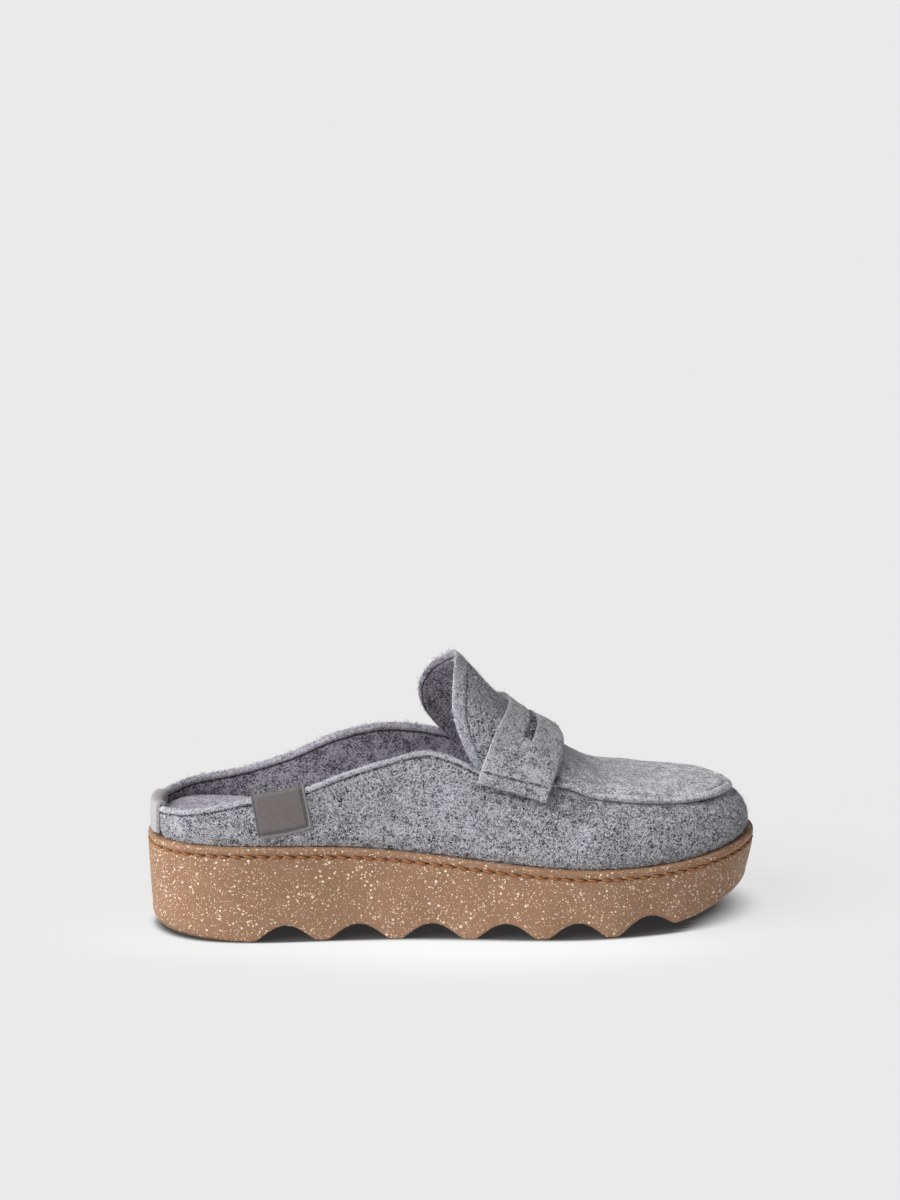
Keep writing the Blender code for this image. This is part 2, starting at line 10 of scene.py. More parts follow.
import bmesh
import bpy
import numpy as np
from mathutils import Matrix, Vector


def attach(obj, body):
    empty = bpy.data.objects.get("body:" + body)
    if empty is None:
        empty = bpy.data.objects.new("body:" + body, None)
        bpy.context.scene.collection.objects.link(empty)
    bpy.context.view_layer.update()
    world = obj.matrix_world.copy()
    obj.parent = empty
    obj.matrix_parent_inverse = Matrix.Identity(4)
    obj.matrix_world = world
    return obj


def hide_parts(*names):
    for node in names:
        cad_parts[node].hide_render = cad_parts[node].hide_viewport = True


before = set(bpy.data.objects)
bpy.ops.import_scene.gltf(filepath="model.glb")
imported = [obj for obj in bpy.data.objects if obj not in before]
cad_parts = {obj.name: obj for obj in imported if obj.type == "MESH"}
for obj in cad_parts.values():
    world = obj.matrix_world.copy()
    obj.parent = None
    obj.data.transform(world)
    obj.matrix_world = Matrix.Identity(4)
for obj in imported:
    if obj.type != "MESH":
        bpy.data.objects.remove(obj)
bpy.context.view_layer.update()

# Sizes of the sole, as in the part
SOLE_LENGTH = 0.265
BALL_WIDTH = 0.098
HEEL_WIDTH = 0.069
HEEL_END_RADIUS = 0.034
TOE_END_RADIUS = 0.036
HEEL_HEIGHT = 0.0418
BALL_HEIGHT = 0.0305
TOE_HEIGHT = 0.0355
TOE_SPRING = 0.0125
WAVE_COUNT = 6
WAVE_PITCH = 0.0310
WAVE_WIDTH = 0.0253
WAVE_DEPTH = 0.0070
FIRST_WAVE = 0.0573
SIDE_TAPER = 0.0030
EDGE_ROLL = 0.0075
EDGE_ROLL_SIDES = 0.17
EDGE_ROLL_TOE = 0.59
GROOVE_DEPTH = 0.0012
WELT_HEIGHT = 0.0040
WELT_WIDTH = 0.0066
INSOLE_RISE_HEEL = 0.0052
INSOLE_RISE_BALL = 0.0035

# Sizes of the felt, as in the part
LEDGE = 0.0025
FELT_WALL = 0.0030
BACK_HEIGHT = 0.0549
COLLAR_PEAK = 0.0825
INSTEP_HEIGHT = 0.1130
TOE_BOX_HEIGHT = 0.0572
PLUG_DROP = 0.0022
PLUG_HEIGHT = TOE_BOX_HEIGHT - PLUG_DROP
APRON_THICKNESS = 0.0025
APRON_LAP = 0.0021
APRON_BACK = 0.160
TONGUE_THICKNESS = 0.0026
TONGUE_TUCK = 0.0080
TONGUE_REACH = 0.0260
TONGUE_STEP_START = 0.08
TONGUE_STEP = 0.36
STRAP_THICKNESS = 0.0034
STRAP_WIDTH = 0.0245
STRAP_FLARE = 0.0045
STRAP_MIDDLE = 0.1682
STRAP_SWEEP = 0.0150
STRAP_LIFT = 0.0036
STRAP_LIFT_REACH = 0.85
STRAP_LIFT_START = -0.60
STRAP_END_HEIGHT = 0.0630
STRAP_END_TILT = 0.0090
STRAP_HALF_SPAN = 0.0539
STRAP_STEP = 0.70
STRAP_TURN = 1.20
SLOT_LENGTH = 0.060
SLOT_WIDTH = 0.0030
SLOT_FORWARD = -0.10
HEEL_TAB_WIDTH = 0.028
LABEL_START = 0.0430
LABEL_WIDTH = 0.022
LABEL_HEIGHT = 0.0175
LABEL_LEAN = 0.18
TRIM_THICKNESS = 0.0011
TRIM_TURN_IN = 0.70
GAP = 0.0003

# Tables of the part: the sole's outline and top, the felt's edge, the ridge of the last and
# the free edge of the tongue
OUTLINE = (
    (0.13, HEEL_WIDTH, 0.500, 0.000),
    (0.26, HEEL_WIDTH, 0.515, -0.010),
    (0.38, HEEL_WIDTH, 0.525, -0.015),
    (0.52, BALL_WIDTH, 0.422, -0.005),
    (0.64, BALL_WIDTH, 0.475, 0.008),
    (0.72, BALL_WIDTH, 0.497, 0.028),
    (0.82, BALL_WIDTH, 0.475, 0.052),
    (0.92, BALL_WIDTH, 0.375, 0.072),
)
MIDDLE_AT_TOE = 0.080
SOLE_TOP = (
    (0.00, HEEL_HEIGHT, 1.000),
    (0.20, HEEL_HEIGHT, 0.995),
    (0.34, HEEL_HEIGHT, 0.965),
    (0.46, HEEL_HEIGHT, 0.890),
    (0.58, BALL_HEIGHT, 1.090),
    (0.70, BALL_HEIGHT, 1.000),
    (0.82, BALL_HEIGHT, 1.000),
    (0.92, TOE_HEIGHT, 0.925),
    (1.00, TOE_HEIGHT, 1.000),
)
TOPLINE = (
    (0.000, BACK_HEIGHT, 1.000, 1.000),
    (0.060, BACK_HEIGHT, 1.043, 1.046),
    (0.155, BACK_HEIGHT, 1.142, 1.095),
    (0.240, COLLAR_PEAK, 0.806, 0.811),
    (0.313, COLLAR_PEAK, 0.888, 0.915),
    (0.385, COLLAR_PEAK, 0.958, 0.966),
    (0.445, COLLAR_PEAK, 0.995, 0.952),
    (0.490, COLLAR_PEAK, 0.955, 0.918),
    (0.536, COLLAR_PEAK, 0.879, 0.862),
    (0.600, COLLAR_PEAK, 0.818, 0.800),
    (0.660, PLUG_HEIGHT, 1.195, 1.175),
    (0.720, PLUG_HEIGHT, 1.090, 1.080),
    (0.800, PLUG_HEIGHT, 1.032, 1.027),
    (1.000, PLUG_HEIGHT, 0.983, 0.983),
)
RIDGE = (
    (0.000, INSTEP_HEIGHT, 1.200, 2.00),
    (0.300, INSTEP_HEIGHT, 1.200, 2.00),
    (0.450, INSTEP_HEIGHT, 1.110, 2.00),
    (0.506, INSTEP_HEIGHT, 1.000, 2.00),
    (0.581, INSTEP_HEIGHT, 0.818, 2.00),
    (0.626, INSTEP_HEIGHT, 0.728, 2.10),
    (0.675, INSTEP_HEIGHT, 0.631, 2.30),
    (0.705, TOE_BOX_HEIGHT, 1.144, 2.50),
    (0.720, TOE_BOX_HEIGHT, 1.098, 2.65),
    (0.770, TOE_BOX_HEIGHT, 1.034, 2.85),
    (0.840, TOE_BOX_HEIGHT, 0.982, 2.90),
    (1.000, TOE_BOX_HEIGHT, 0.950, 2.90),
)
SPINE_HEEL_END = 0.13
SPINE_HEEL_TURN = 0.30
SPINE_TOE_TURN = 0.60
SPINE_TOE_END = 0.84
TONGUE_EDGE = (
    (-1.00, 0.47),
    (-0.86, 0.88),
    (-0.75, 1.08),
    (-0.64, 1.17),
    (-0.50, 1.15),
    (-0.20, 1.07),
    (0.00, 1.03),
    (0.15, 1.05),
    (0.28, 1.12),
    (0.42, 1.23),
    (0.58, 1.42),
    (0.70, 1.57),
    (0.78, 1.53),
    (0.88, 1.22),
    (1.00, 0.60),
)

# What the part leaves out: seams, margins and rounded cuts of the felt
SEAM_DEPTH = 0.0007
SEAM_WIDTH = 0.00045
SEAM_STITCH = 0.0036
MARGIN = 0.0030
MARGIN_PUFF = 0.00035
COLLAR_BAND = 0.0085
CUT_ROUND = 0.0009
STRAP_ROUND = 0.0006

# Rim of the plug, with the dip of its seam
APRON_MARGIN = 0.0040
APRON_ROLL = 0.00035
APRON_DIP = 0.00040
APRON_DIP_WIDTH = 0.0011

# Tongue's rolled rim and hem, strap's seam and loose ends, label's hem and second layer
TONGUE_MARGIN = 0.0078
TONGUE_HEM = 0.0017
TONGUE_ROLL = 0.0005
TONGUE_ROUND = 0.0015
STRAP_SEAM = 0.0056
STRAP_END_LIFT = 0.0009
LABEL_HEM = 0.0017
LABEL_UNDER_DROP = 0.0009

# Foot of the wall, feet between the sole's arches and the sole's shoulder under the welt, whose
# rows are a share of the side's height and an inset in groove depths
FOOT_TUCK = 0.0011
TUCK_HEIGHT = 0.0045
FOOT_ROUND = 0.00035
SOLE_SHOULDER = ((0.965, 0.12), (0.98, 0.16), (0.99, 0.35), (0.997, 0.7), (1.0, 1.1))

# Footbed: how far its edge is cupped at the heel, to which share of the length and over which,
# its dish, and its rounded edge as insets and drops
HEEL_CUP = 0.0036
HEEL_CUP_END = 0.21
HEEL_CUP_REACH = 0.19
FOOTBED_DISH = 0.0006
FOOTBED_ROUND = ((0.0, 0.0012), (0.0003, 0.0006), (0.0007, 0.00025), (0.0012, 0.0))

# Stitches in the groove: they lean, bulge in the middle and lie deeper at the sole's two ends
THREAD_PITCH = 0.0056
THREAD_RADIUS = 0.00061
THREAD_INSET = 0.00092
THREAD_BULGE = 0.00075
THREAD_RISE = 0.00025
THREAD_LEAN = 0.00075
THREAD_SINK = 0.00030

# Points along the grids of the large pieces
OUTSOLE_COLUMNS = 900
WELT_COLUMNS = 700
FOOTBED_COLUMNS = 400
WALL_COLUMNS = 664
APRON_ROWS = 214
APRON_COLUMNS = 227
TRIM_COLUMNS = 61
FLOOR_COLUMNS = 240
SAME_POINT = 1e-6

# Slow unevenness of the felt: height, size and seed
WALL_LUMPS = ((0.00035, 0.030, 3), (0.00012, 0.009, 4))
APRON_LUMPS = ((0.00050, 0.028, 11), (0.00020, 0.009, 12))
TONGUE_LUMPS = ((0.0004, 0.025, 21), (0.00012, 0.008, 22))
STRAP_LUMPS = ((0.00035, 0.022, 31), (0.00012, 0.008, 32))

# Creases: two ends of a line, half width and depth. On the wall the plane is x from the heel
# and height; on the apron and the tongue it is x from the heel and y.
WALL_CREASES = (
    (0.176, 0.040, 0.190, 0.060, 0.0028, 0.00050),
    (0.190, 0.038, 0.200, 0.056, 0.0026, -0.00035),
    (0.136, 0.052, 0.150, 0.070, 0.0030, 0.00045),
    (0.118, 0.050, 0.128, 0.074, 0.0034, 0.00035),
    (0.205, 0.036, 0.232, 0.046, 0.0024, 0.00035),
    (0.222, 0.040, 0.246, 0.046, 0.0022, 0.00030),
    (0.060, 0.046, 0.085, 0.056, 0.0034, 0.00035),
    (0.020, 0.045, 0.036, 0.051, 0.0024, 0.00030),
)
APRON_CREASES = (
    (0.176, -0.0265, 0.208, -0.0285, 0.0016, 0.00055),
    (0.174, -0.0225, 0.200, -0.0240, 0.0016, 0.00045),
    (0.172, -0.0180, 0.192, -0.0190, 0.0018, 0.00030),
    (0.176, 0.0310, 0.205, 0.0330, 0.0016, 0.00050),
    (0.174, 0.0250, 0.198, 0.0265, 0.0016, 0.00040),
    (0.206, -0.0120, 0.232, 0.0060, 0.0050, 0.00035),
    (0.190, 0.0080, 0.216, 0.0180, 0.0050, 0.00030),
)
TONGUE_CREASES = (
    (0.150, -0.0060, 0.140, -0.0200, 0.0022, 0.00050),
    (0.156, 0.0020, 0.146, 0.0180, 0.0030, 0.00040),
)

# Painted shadow under the strap's lower cut on the wall: two ends of a line, half width and share
STRAP_CUT_PAINTED_SHADOW = (
    (0.1290, 0.0696, 0.1775, 0.0546, 0.0012, 0.90),
)

# Grain of the felt: scales of its noises, their shares and the range from dark to pale
GRAIN_SCALE = 1400.0
CLOUD_SCALE = 260.0
CLOUD_SHARE = 0.30
DRIFT_SCALE = 70.0
DRIFT_SHARE = 0.09
GRAIN_MIDDLE = 0.69
GRAIN_SPREAD = 0.076
MARGIN_SHIFT = 0.040
MARGIN_PALE = 0.16
# How dark the seam mark makes the felt: at the stitched seams, and as painted shade under edges and in the
# strap's slot
SEAM_AND_SHADE_DARK = 0.88

# Flecks of the sole: cells a metre, radius in cells and share of the cells with a fleck
FLECKS = (
    (1500.0, 0.43, 0.33),
    (900.0, 0.38, 0.36),
    (520.0, 0.31, 0.42),
    (290.0, 0.22, 0.42),
)

# Hairs: pieces with the count of pale ones, then length, width and how far they stand up
HAIRS = (("wall", 24000), ("apron", 9000), ("tongue", 6000), ("strap", 5000))
PALE_HAIR_SIZE = (0.0024, 0.00015, 0.75)
DARK_HAIR_SIZE = (0.0021, 0.00014, 0.40)

# Light and camera of the photo's studio, the floor's steps out from the sole's outline
FLOOR_TONE = 0.10
# Painted light on the floor: its glow fills the shoe's cast shadow from a little inside the outline, later
# and more softly at the toe, keeps a least share under the sole, and its halo paints a pool of light in
# front of the sole.
FLOOR_GLOW = 0.72
FLOOR_HALO = 0.20
FLOOR_LEAST = 0.035
GLOW_START = 0.005
GLOW_START_TOE = 0.016
GLOW_SOFT = 0.005
GLOW_SOFT_TOE = 0.023
HALO_PLACE = 0.010
HALO_WIDTH = 0.030
SKY_BACK = 0.62
SKY_FRONT = 0.12
SUN_ENERGY = 3.30
SUN_SPREAD = 50.0
SUN_TOWARD = (-0.84, -0.39, 0.72)
FLOOR_STEPS = (-0.03, -0.017, -0.013, -0.009, -0.005, -0.003, -0.001, 0.001, 0.003, 0.006, 0.010,
               0.016, 0.024, 0.034, 0.048, 0.068, 0.10, 0.16, 0.30, 0.7, 2.0, 8.0, 60.0)
CAMERA_PLACE = (-0.130155, -1.334812, 0.424051)
CAMERA_AZIMUTH = -5.5
CAMERA_ELEVATION = 12.0
CAMERA_LENS = 95.93
CAMERA_FILM = 36.0


# Curves and the last, as in the part

def smooth_curve(knots, values, at):
    """Cubic through the knots, whose slope at a knot comes from the knots on its two sides."""
    knots = np.asarray(knots, float)
    values = np.asarray(values, float)
    at = np.clip(np.asarray(at, float), knots[0], knots[-1])
    slopes = np.gradient(values, knots)
    span = np.clip(np.searchsorted(knots, at, side="right") - 1, 0, len(knots) - 2)
    width = knots[span + 1] - knots[span]
    t = (at - knots[span]) / width
    start = values[span] * (2 * t**3 - 3 * t**2 + 1) + slopes[span] * width * (t**3 - 2 * t**2 + t)
    end = values[span + 1] * (3 * t**2 - 2 * t**3) + slopes[span + 1] * width * (t**3 - t**2)
    return start + end


def sized_curve(table, column, at):
    """Curve through the rows of a table, whose values are the row's size times a share."""
    return smooth_curve([row[0] for row in table], [row[1] * row[column] for row in table], at)


def ease(t):
    """Goes from 0 to 1 with no slope at either end."""
    t = np.clip(t, 0.0, 1.0)
    return t * t * (3.0 - 2.0 * t)


def share_of(angle):
    """Share of the sole's length at an angle: 0 at the centre back, pi at the toe tip."""
    return (1.0 - np.cos(angle)) / 2.0


def angle_of(share, side):
    """Angle of a share of the length, on the outer side (-1) or the inner side (1)."""
    angle = np.arccos(np.clip(1.0 - 2.0 * np.asarray(share, float), -1.0, 1.0))
    return np.where(np.asarray(side) > 0, 2.0 * math.pi - angle, angle)


def middle_line(share):
    """How far the middle of the sole lies to the inner side."""
    knots = [0.0] + [row[0] for row in OUTLINE] + [1.0]
    values = [0.0] + [row[1] * row[3] for row in OUTLINE] + [BALL_WIDTH * MIDDLE_AT_TOE]
    return smooth_curve(knots, values, share)


def roundness(share):
    """Half width of the sole over the half width of an ellipse of its length, at a share."""
    knots = [0.0] + [row[0] for row in OUTLINE] + [1.0]
    values = [math.sqrt(HEEL_END_RADIUS * SOLE_LENGTH / 2.0)]
    values += [row[1] * row[2] / (2.0 * math.sqrt(row[0] * (1.0 - row[0]))) for row in OUTLINE]
    values += [math.sqrt(TOE_END_RADIUS * SOLE_LENGTH / 2.0)]
    return smooth_curve(knots, values, share)


def round_angles(count):
    """Angles once round the outline, at even steps."""
    return np.linspace(0.0, 2.0 * math.pi, count, endpoint=False)


def rim(angle):
    """Outline of the sole at an angle, before it is centred on the origin."""
    share = share_of(angle)
    x = SOLE_LENGTH * share
    y = middle_line(share) - np.sin(angle) * roundness(share)
    return np.stack([x, y], axis=-1)


def footprint_centre():
    """Middle of the box round the outline."""
    points = rim(np.linspace(0.0, 2.0 * math.pi, 720))
    return (points.min(axis=0) + points.max(axis=0)) / 2.0


CENTRE = footprint_centre()


def outline(angle, inset):
    """The rim moved inward by the inset, square to itself."""
    angle = np.asarray(angle, float)
    step = 1e-3
    along = rim(angle + step) - rim(angle - step)
    along /= np.linalg.norm(along, axis=-1, keepdims=True)
    inward = np.stack([-along[..., 1], along[..., 0]], axis=-1)
    return rim(angle) + inward * np.asarray(inset)[..., None]


def welt_top(x):
    """Height of the welt's top, where the felt stands, at a distance from the heel."""
    return sized_curve(SOLE_TOP, 2, x / SOLE_LENGTH)


def groove_height(x):
    """Top of the outsole, in the stitched groove under the welt."""
    return welt_top(x) - WELT_HEIGHT


def insole_top(x):
    """Height of the footbed: thick at the heel, thinner from the ball on."""
    blend = ease((x - 0.25 * SOLE_LENGTH) / (0.40 * SOLE_LENGTH))
    return welt_top(x) + INSOLE_RISE_HEEL + (INSOLE_RISE_BALL - INSOLE_RISE_HEEL) * blend


def tread(x):
    """Underside of the outsole: flat, cut by rounded arches, and rising to the toe."""
    last_foot = FIRST_WAVE + (WAVE_COUNT - 1.5) * WAVE_PITCH
    rise = np.clip((x - last_foot) / (SOLE_LENGTH - last_foot), 0.0, 1.0)
    spring = TOE_SPRING * rise**1.5
    place = (x - FIRST_WAVE) / WAVE_PITCH
    nearest = np.clip(np.round(place), 0, WAVE_COUNT - 1)
    across = (place - nearest) * WAVE_PITCH / (WAVE_WIDTH / 2.0)
    arch = WAVE_DEPTH * np.cos(np.clip(across, -1.0, 1.0) * math.pi / 2.0)
    return spring + arch + FOOT_ROUND * bump_at(np.abs(across), 1.0, 0.11)


def edge_roll(x):
    """Size of the rounding along the sole's lower edge, full at the back and at the toe."""
    flat_heel = FIRST_WAVE - WAVE_WIDTH / 2.0
    back = 1.0 - ease(x / flat_heel)
    front = ease((x - 0.80 * SOLE_LENGTH) / (0.20 * SOLE_LENGTH))
    at_heel = EDGE_ROLL_SIDES + (1.0 - EDGE_ROLL_SIDES) * back
    at_toe = EDGE_ROLL_SIDES + (EDGE_ROLL_TOE - EDGE_ROLL_SIDES) * front
    return EDGE_ROLL * np.maximum(at_heel, at_toe)


def taper(x):
    """How far the sole's foot lies inside its rim: more toward the toe."""
    return SIDE_TAPER * (0.5 + 0.5 * ease(x / SOLE_LENGTH))


def ridge_height(share):
    """Height of the last's ridge."""
    return sized_curve(RIDGE, 2, share)


def squareness(share):
    """Power of the last's section: 2 is an ellipse, more is squarer."""
    return smooth_curve([row[0] for row in RIDGE], [row[3] for row in RIDGE], share)


def spine(share):
    """Share of the length where the ridge serves a section: it stops short of both ends."""
    heel = np.clip((SPINE_HEEL_TURN - share) / SPINE_HEEL_TURN, 0.0, 1.0)
    toe = np.clip((share - SPINE_TOE_TURN) / (1.0 - SPINE_TOE_TURN), 0.0, 1.0)
    back = (SPINE_HEEL_TURN - SPINE_HEEL_END) * np.sin(heel * math.pi / 2.0)
    front = (SPINE_TOE_END - SPINE_TOE_TURN) * np.sin(toe * math.pi / 2.0)
    inner = np.clip(share, SPINE_HEEL_TURN, SPINE_TOE_TURN)
    return inner - back + front


def section(angle, offset):
    """Foot point, ridge point and power of the last's section at an angle, grown by offset."""
    on_spine = spine(share_of(angle))
    foot = outline(angle, LEDGE - offset)
    foot = np.concatenate([foot, (welt_top(foot[..., 0]) + GAP)[..., None]], axis=-1)
    height = ridge_height(on_spine) + offset
    crest = np.stack([SOLE_LENGTH * on_spine, middle_line(on_spine), height], axis=-1)
    return foot, crest, squareness(on_spine)


def last_point(angle, climb, offset):
    """Point of the last: climb 0 is at the sole, pi / 2 on the ridge, along a superellipse."""
    angle, climb, offset = np.broadcast_arrays(angle, climb, offset)
    foot, crest, power = section(angle, offset)
    out = np.clip(np.cos(climb), 0.0, 1.0) ** (2.0 / power)
    up = np.clip(np.sin(climb), 0.0, 1.0) ** (2.0 / power)
    flat = crest[..., :2] + out[..., None] * (foot[..., :2] - crest[..., :2])
    z = foot[..., 2] + up * (crest[..., 2] - foot[..., 2])
    return np.concatenate([flat, z[..., None]], axis=-1)


def climb_to(angle, height):
    """Climb at which the last reaches a height."""
    foot, crest, power = section(np.asarray(angle, float), 0.0)
    up = np.clip((height - foot[..., 2]) / (crest[..., 2] - foot[..., 2]), 0.0, 1.0)
    return np.arcsin(up ** (power / 2.0))


def topline_height(angle):
    """Height of the upper's edge at an angle."""
    outer = sized_curve(TOPLINE, 2, share_of(angle))
    inner = sized_curve(TOPLINE, 3, share_of(angle))
    return np.where(np.sin(angle) >= 0.0, outer, inner)


def edge_climb(angle, drop=0.0):
    """Climb of the upper's edge, or of a line that lies lower by drop."""
    return climb_to(angle, topline_height(angle) - drop)


# Meshes

def grid_faces(rows, columns, wrap_rows=False, wrap_columns=False, keep=None):
    """Quads between the points of a grid; keep marks the cells that are filled."""
    row = np.arange(rows if wrap_rows else rows - 1)
    column = np.arange(columns if wrap_columns else columns - 1)
    row, column = np.meshgrid(row, column, indexing="ij")
    next_row = (row + 1) % rows
    next_column = (column + 1) % columns
    corners = (
        row * columns + column,
        row * columns + next_column,
        next_row * columns + next_column,
        next_row * columns + column,
    )
    faces = np.stack(corners, axis=-1)
    if keep is not None:
        faces = faces[keep]
    return faces.reshape(-1, 4)


def capped_faces(rings):
    """Quads between closed rings, with strips across the first ring and the last one."""
    rows, columns, _ = rings.shape
    i = np.arange(columns // 2)
    strip = np.stack([i, (i + 1), columns - i - 1, (columns - i) % columns], axis=-1)
    around = grid_faces(rows, columns, wrap_columns=True)
    return np.concatenate([around, strip[:, ::-1], strip + (rows - 1) * columns])


def mesh_piece(name, points, faces, material, marks=None, merge=0.0, centred=True):
    """Object from points and quads, with its marks as attributes of the points."""
    points = np.asarray(points, float).reshape(-1, 3)
    if centred:
        points = points - np.array([CENTRE[0], CENTRE[1], 0.0])
    faces = np.asarray(faces, np.int64).reshape(-1, 4)
    mesh = bpy.data.meshes.new(name)
    mesh.vertices.add(len(points))
    mesh.vertices.foreach_set("co", points.astype(np.float32).ravel())
    mesh.loops.add(faces.size)
    mesh.loops.foreach_set("vertex_index", faces.astype(np.int32).ravel())
    mesh.polygons.add(len(faces))
    mesh.polygons.foreach_set("loop_start", np.arange(0, faces.size, 4, dtype=np.int32))
    mesh.update(calc_edges=True)
    for mark, values in (marks or {}).items():
        layer = mesh.attributes.new(mark, "FLOAT", "POINT")
        layer.data.foreach_set("value", np.asarray(values, np.float32).ravel())
    if merge > 0.0:
        work = bmesh.new()
        work.from_mesh(mesh)
        bmesh.ops.remove_doubles(work, verts=work.verts, dist=merge)
        bmesh.ops.dissolve_degenerate(work, dist=merge, edges=work.edges)
        work.to_mesh(mesh)
        work.free()
    mesh.shade_smooth()
    mesh.materials.append(material)
    piece = bpy.data.objects.new(name, mesh)
    bpy.context.scene.collection.objects.link(piece)
    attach(piece, "root")
    return piece


def outward(piece):
    """Turns every face of a closed piece outward."""
    work = bmesh.new()
    work.from_mesh(piece.data)
    bmesh.ops.recalc_face_normals(work, faces=work.faces)
    work.to_mesh(piece.data)
    work.free()
    return piece


def slab_faces(rows, columns, keep=None):
    """Quads of a sheet with two faces: the front grid, the back grid and walls at every rim."""
    if keep is None:
        keep = np.ones((rows - 1, columns - 1), bool)
    index = np.arange(rows * columns).reshape(rows, columns)
    back = rows * columns
    front = grid_faces(rows, columns, keep=keep)
    walls = []
    padded = np.pad(keep, 1)
    below = padded[1:-1, 1:-1] & ~padded[:-2, 1:-1]
    above = padded[1:-1, 1:-1] & ~padded[2:, 1:-1]
    left = padded[1:-1, 1:-1] & ~padded[1:-1, :-2]
    right = padded[1:-1, 1:-1] & ~padded[1:-1, 2:]
    for cells, start, end in (
        (below, (0, 0), (0, 1)),
        (above, (1, 1), (1, 0)),
        (left, (1, 0), (0, 0)),
        (right, (0, 1), (1, 1)),
    ):
        r, c = np.nonzero(cells)
        a = index[r + start[0], c + start[1]]
        b = index[r + end[0], c + end[1]]
        walls.append(np.stack([b, a, a + back, b + back], axis=-1))
    return np.concatenate([front, front[:, ::-1] + back] + walls)


def arc_lengths(points, axis):
    """Length along a grid from its first row or column."""
    steps = np.linalg.norm(np.diff(points, axis=axis), axis=-1)
    start = np.zeros_like(np.take(steps, [0], axis=axis))
    return np.concatenate([start, np.cumsum(steps, axis=axis)], axis=axis)


def lumps(points, size, seed):
    """Slow unevenness from -1 to 1: sines in turned directions whose waves are about size."""
    chance = np.random.default_rng(seed)
    total = np.zeros(points.shape[:-1])
    for _ in range(9):
        way = chance.normal(size=3)
        way /= np.linalg.norm(way)
        wave = size * chance.uniform(0.7, 1.6)
        total += np.sin(points @ way * 2.0 * math.pi / wave + chance.uniform(0.0, 2.0 * math.pi))
    return total / 4.5


def uneven(points, table):
    """Sum of the lumps of a table."""
    return sum(height * lumps(points, size, seed) for height, size, seed in table)


def bump_at(distance, place, width):
    """Soft rise of height 1 round a place."""
    return np.exp(-(((distance - place) / width) ** 2))


def trough(first, second, table):
    """Sum of soft troughs (and ridges, with a negative depth) along lines in a plane.

    A row of the table gives a line's two ends, its half width and its depth; the trough fades
    toward both ends.
    """
    total = np.zeros(np.broadcast(first, second).shape)
    for x0, y0, x1, y1, width, depth in table:
        length = math.hypot(x1 - x0, y1 - y0)
        along = ((first - x0) * (x1 - x0) + (second - y0) * (y1 - y0)) / length**2
        off = np.hypot(first - x0 - along * (x1 - x0), second - y0 - along * (y1 - y0))
        fade = ease(along / 0.35) * ease((1.0 - along) / 0.35)
        total += depth * np.exp(-((off / width) ** 2)) * fade
    return total


# Materials

def shader_of(name, colour, roughness):
    """Material with a plain principled shader, its node tree and that shader."""
    material = bpy.data.materials.new(name)
    material.use_nodes = True
    tree = material.node_tree
    shader = tree.nodes["Principled BSDF"]
    shader.inputs["Base Color"].default_value = (*colour, 1.0)
    shader.inputs["Roughness"].default_value = roughness
    shader.inputs["Metallic"].default_value = 0.0
    material.diffuse_color = (*colour, 1.0)
    return material, tree, shader


def node(tree, kind, **values):
    """New node with its settings and the values of its named sockets."""
    made = tree.nodes.new(kind)
    for key, value in values.items():
        if key in made.inputs:
            made.inputs[key].default_value = value
        else:
            setattr(made, key, value)
    return made


def noise(tree, where, scale, detail=2.0, roughness=0.5, bend=0.0):
    """Noise texture read at object coordinates, with its forms bent into strands."""
    made = node(tree, "ShaderNodeTexNoise", Scale=scale, Detail=detail, Roughness=roughness,
                Distortion=bend)
    tree.links.new(where, made.inputs["Vector"])
    return made.outputs["Fac"]


def ranged(tree, value, low, high, to_low=0.0, to_high=1.0):
    """Value from low to high taken to to_low to to_high, and held there outside."""
    made = node(tree, "ShaderNodeMapRange")
    made.clamp = True
    tree.links.new(value, made.inputs["Value"])
    made.inputs["From Min"].default_value = low
    made.inputs["From Max"].default_value = high
    made.inputs["To Min"].default_value = to_low
    made.inputs["To Max"].default_value = to_high
    return made.outputs["Result"]


def worked(tree, operation, first, second=None):
    """Sum, product or another operation of two values, each a socket or a number."""
    made = node(tree, "ShaderNodeMath", operation=operation)
    for place, value in enumerate((first, second)):
        if value is None:
            continue
        if isinstance(value, (int, float)):
            made.inputs[place].default_value = value
        else:
            tree.links.new(value, made.inputs[place])
    return made.outputs["Value"]


def blended(tree, share, first, second):
    """Colour between two colours, each a socket or three numbers."""
    made = node(tree, "ShaderNodeMix", data_type="RGBA")
    if isinstance(share, (int, float)):
        made.inputs[0].default_value = share
    else:
        tree.links.new(share, made.inputs[0])
    for place, colour in ((6, first), (7, second)):
        if isinstance(colour, tuple):
            made.inputs[place].default_value = (*colour, 1.0)
        else:
            tree.links.new(colour, made.inputs[place])
    return made.outputs[2]


def marked(tree, name):
    """Value of an attribute of the points."""
    return node(tree, "ShaderNodeAttribute", attribute_name=name).outputs["Fac"]


def bumped(tree, shader, height, strength, distance):
    """Bump from a height, on the shader's normal."""
    made = node(tree, "ShaderNodeBump", Strength=strength, Distance=distance)
    tree.links.new(height, made.inputs["Height"])
    tree.links.new(made.outputs["Normal"], shader.inputs["Normal"])


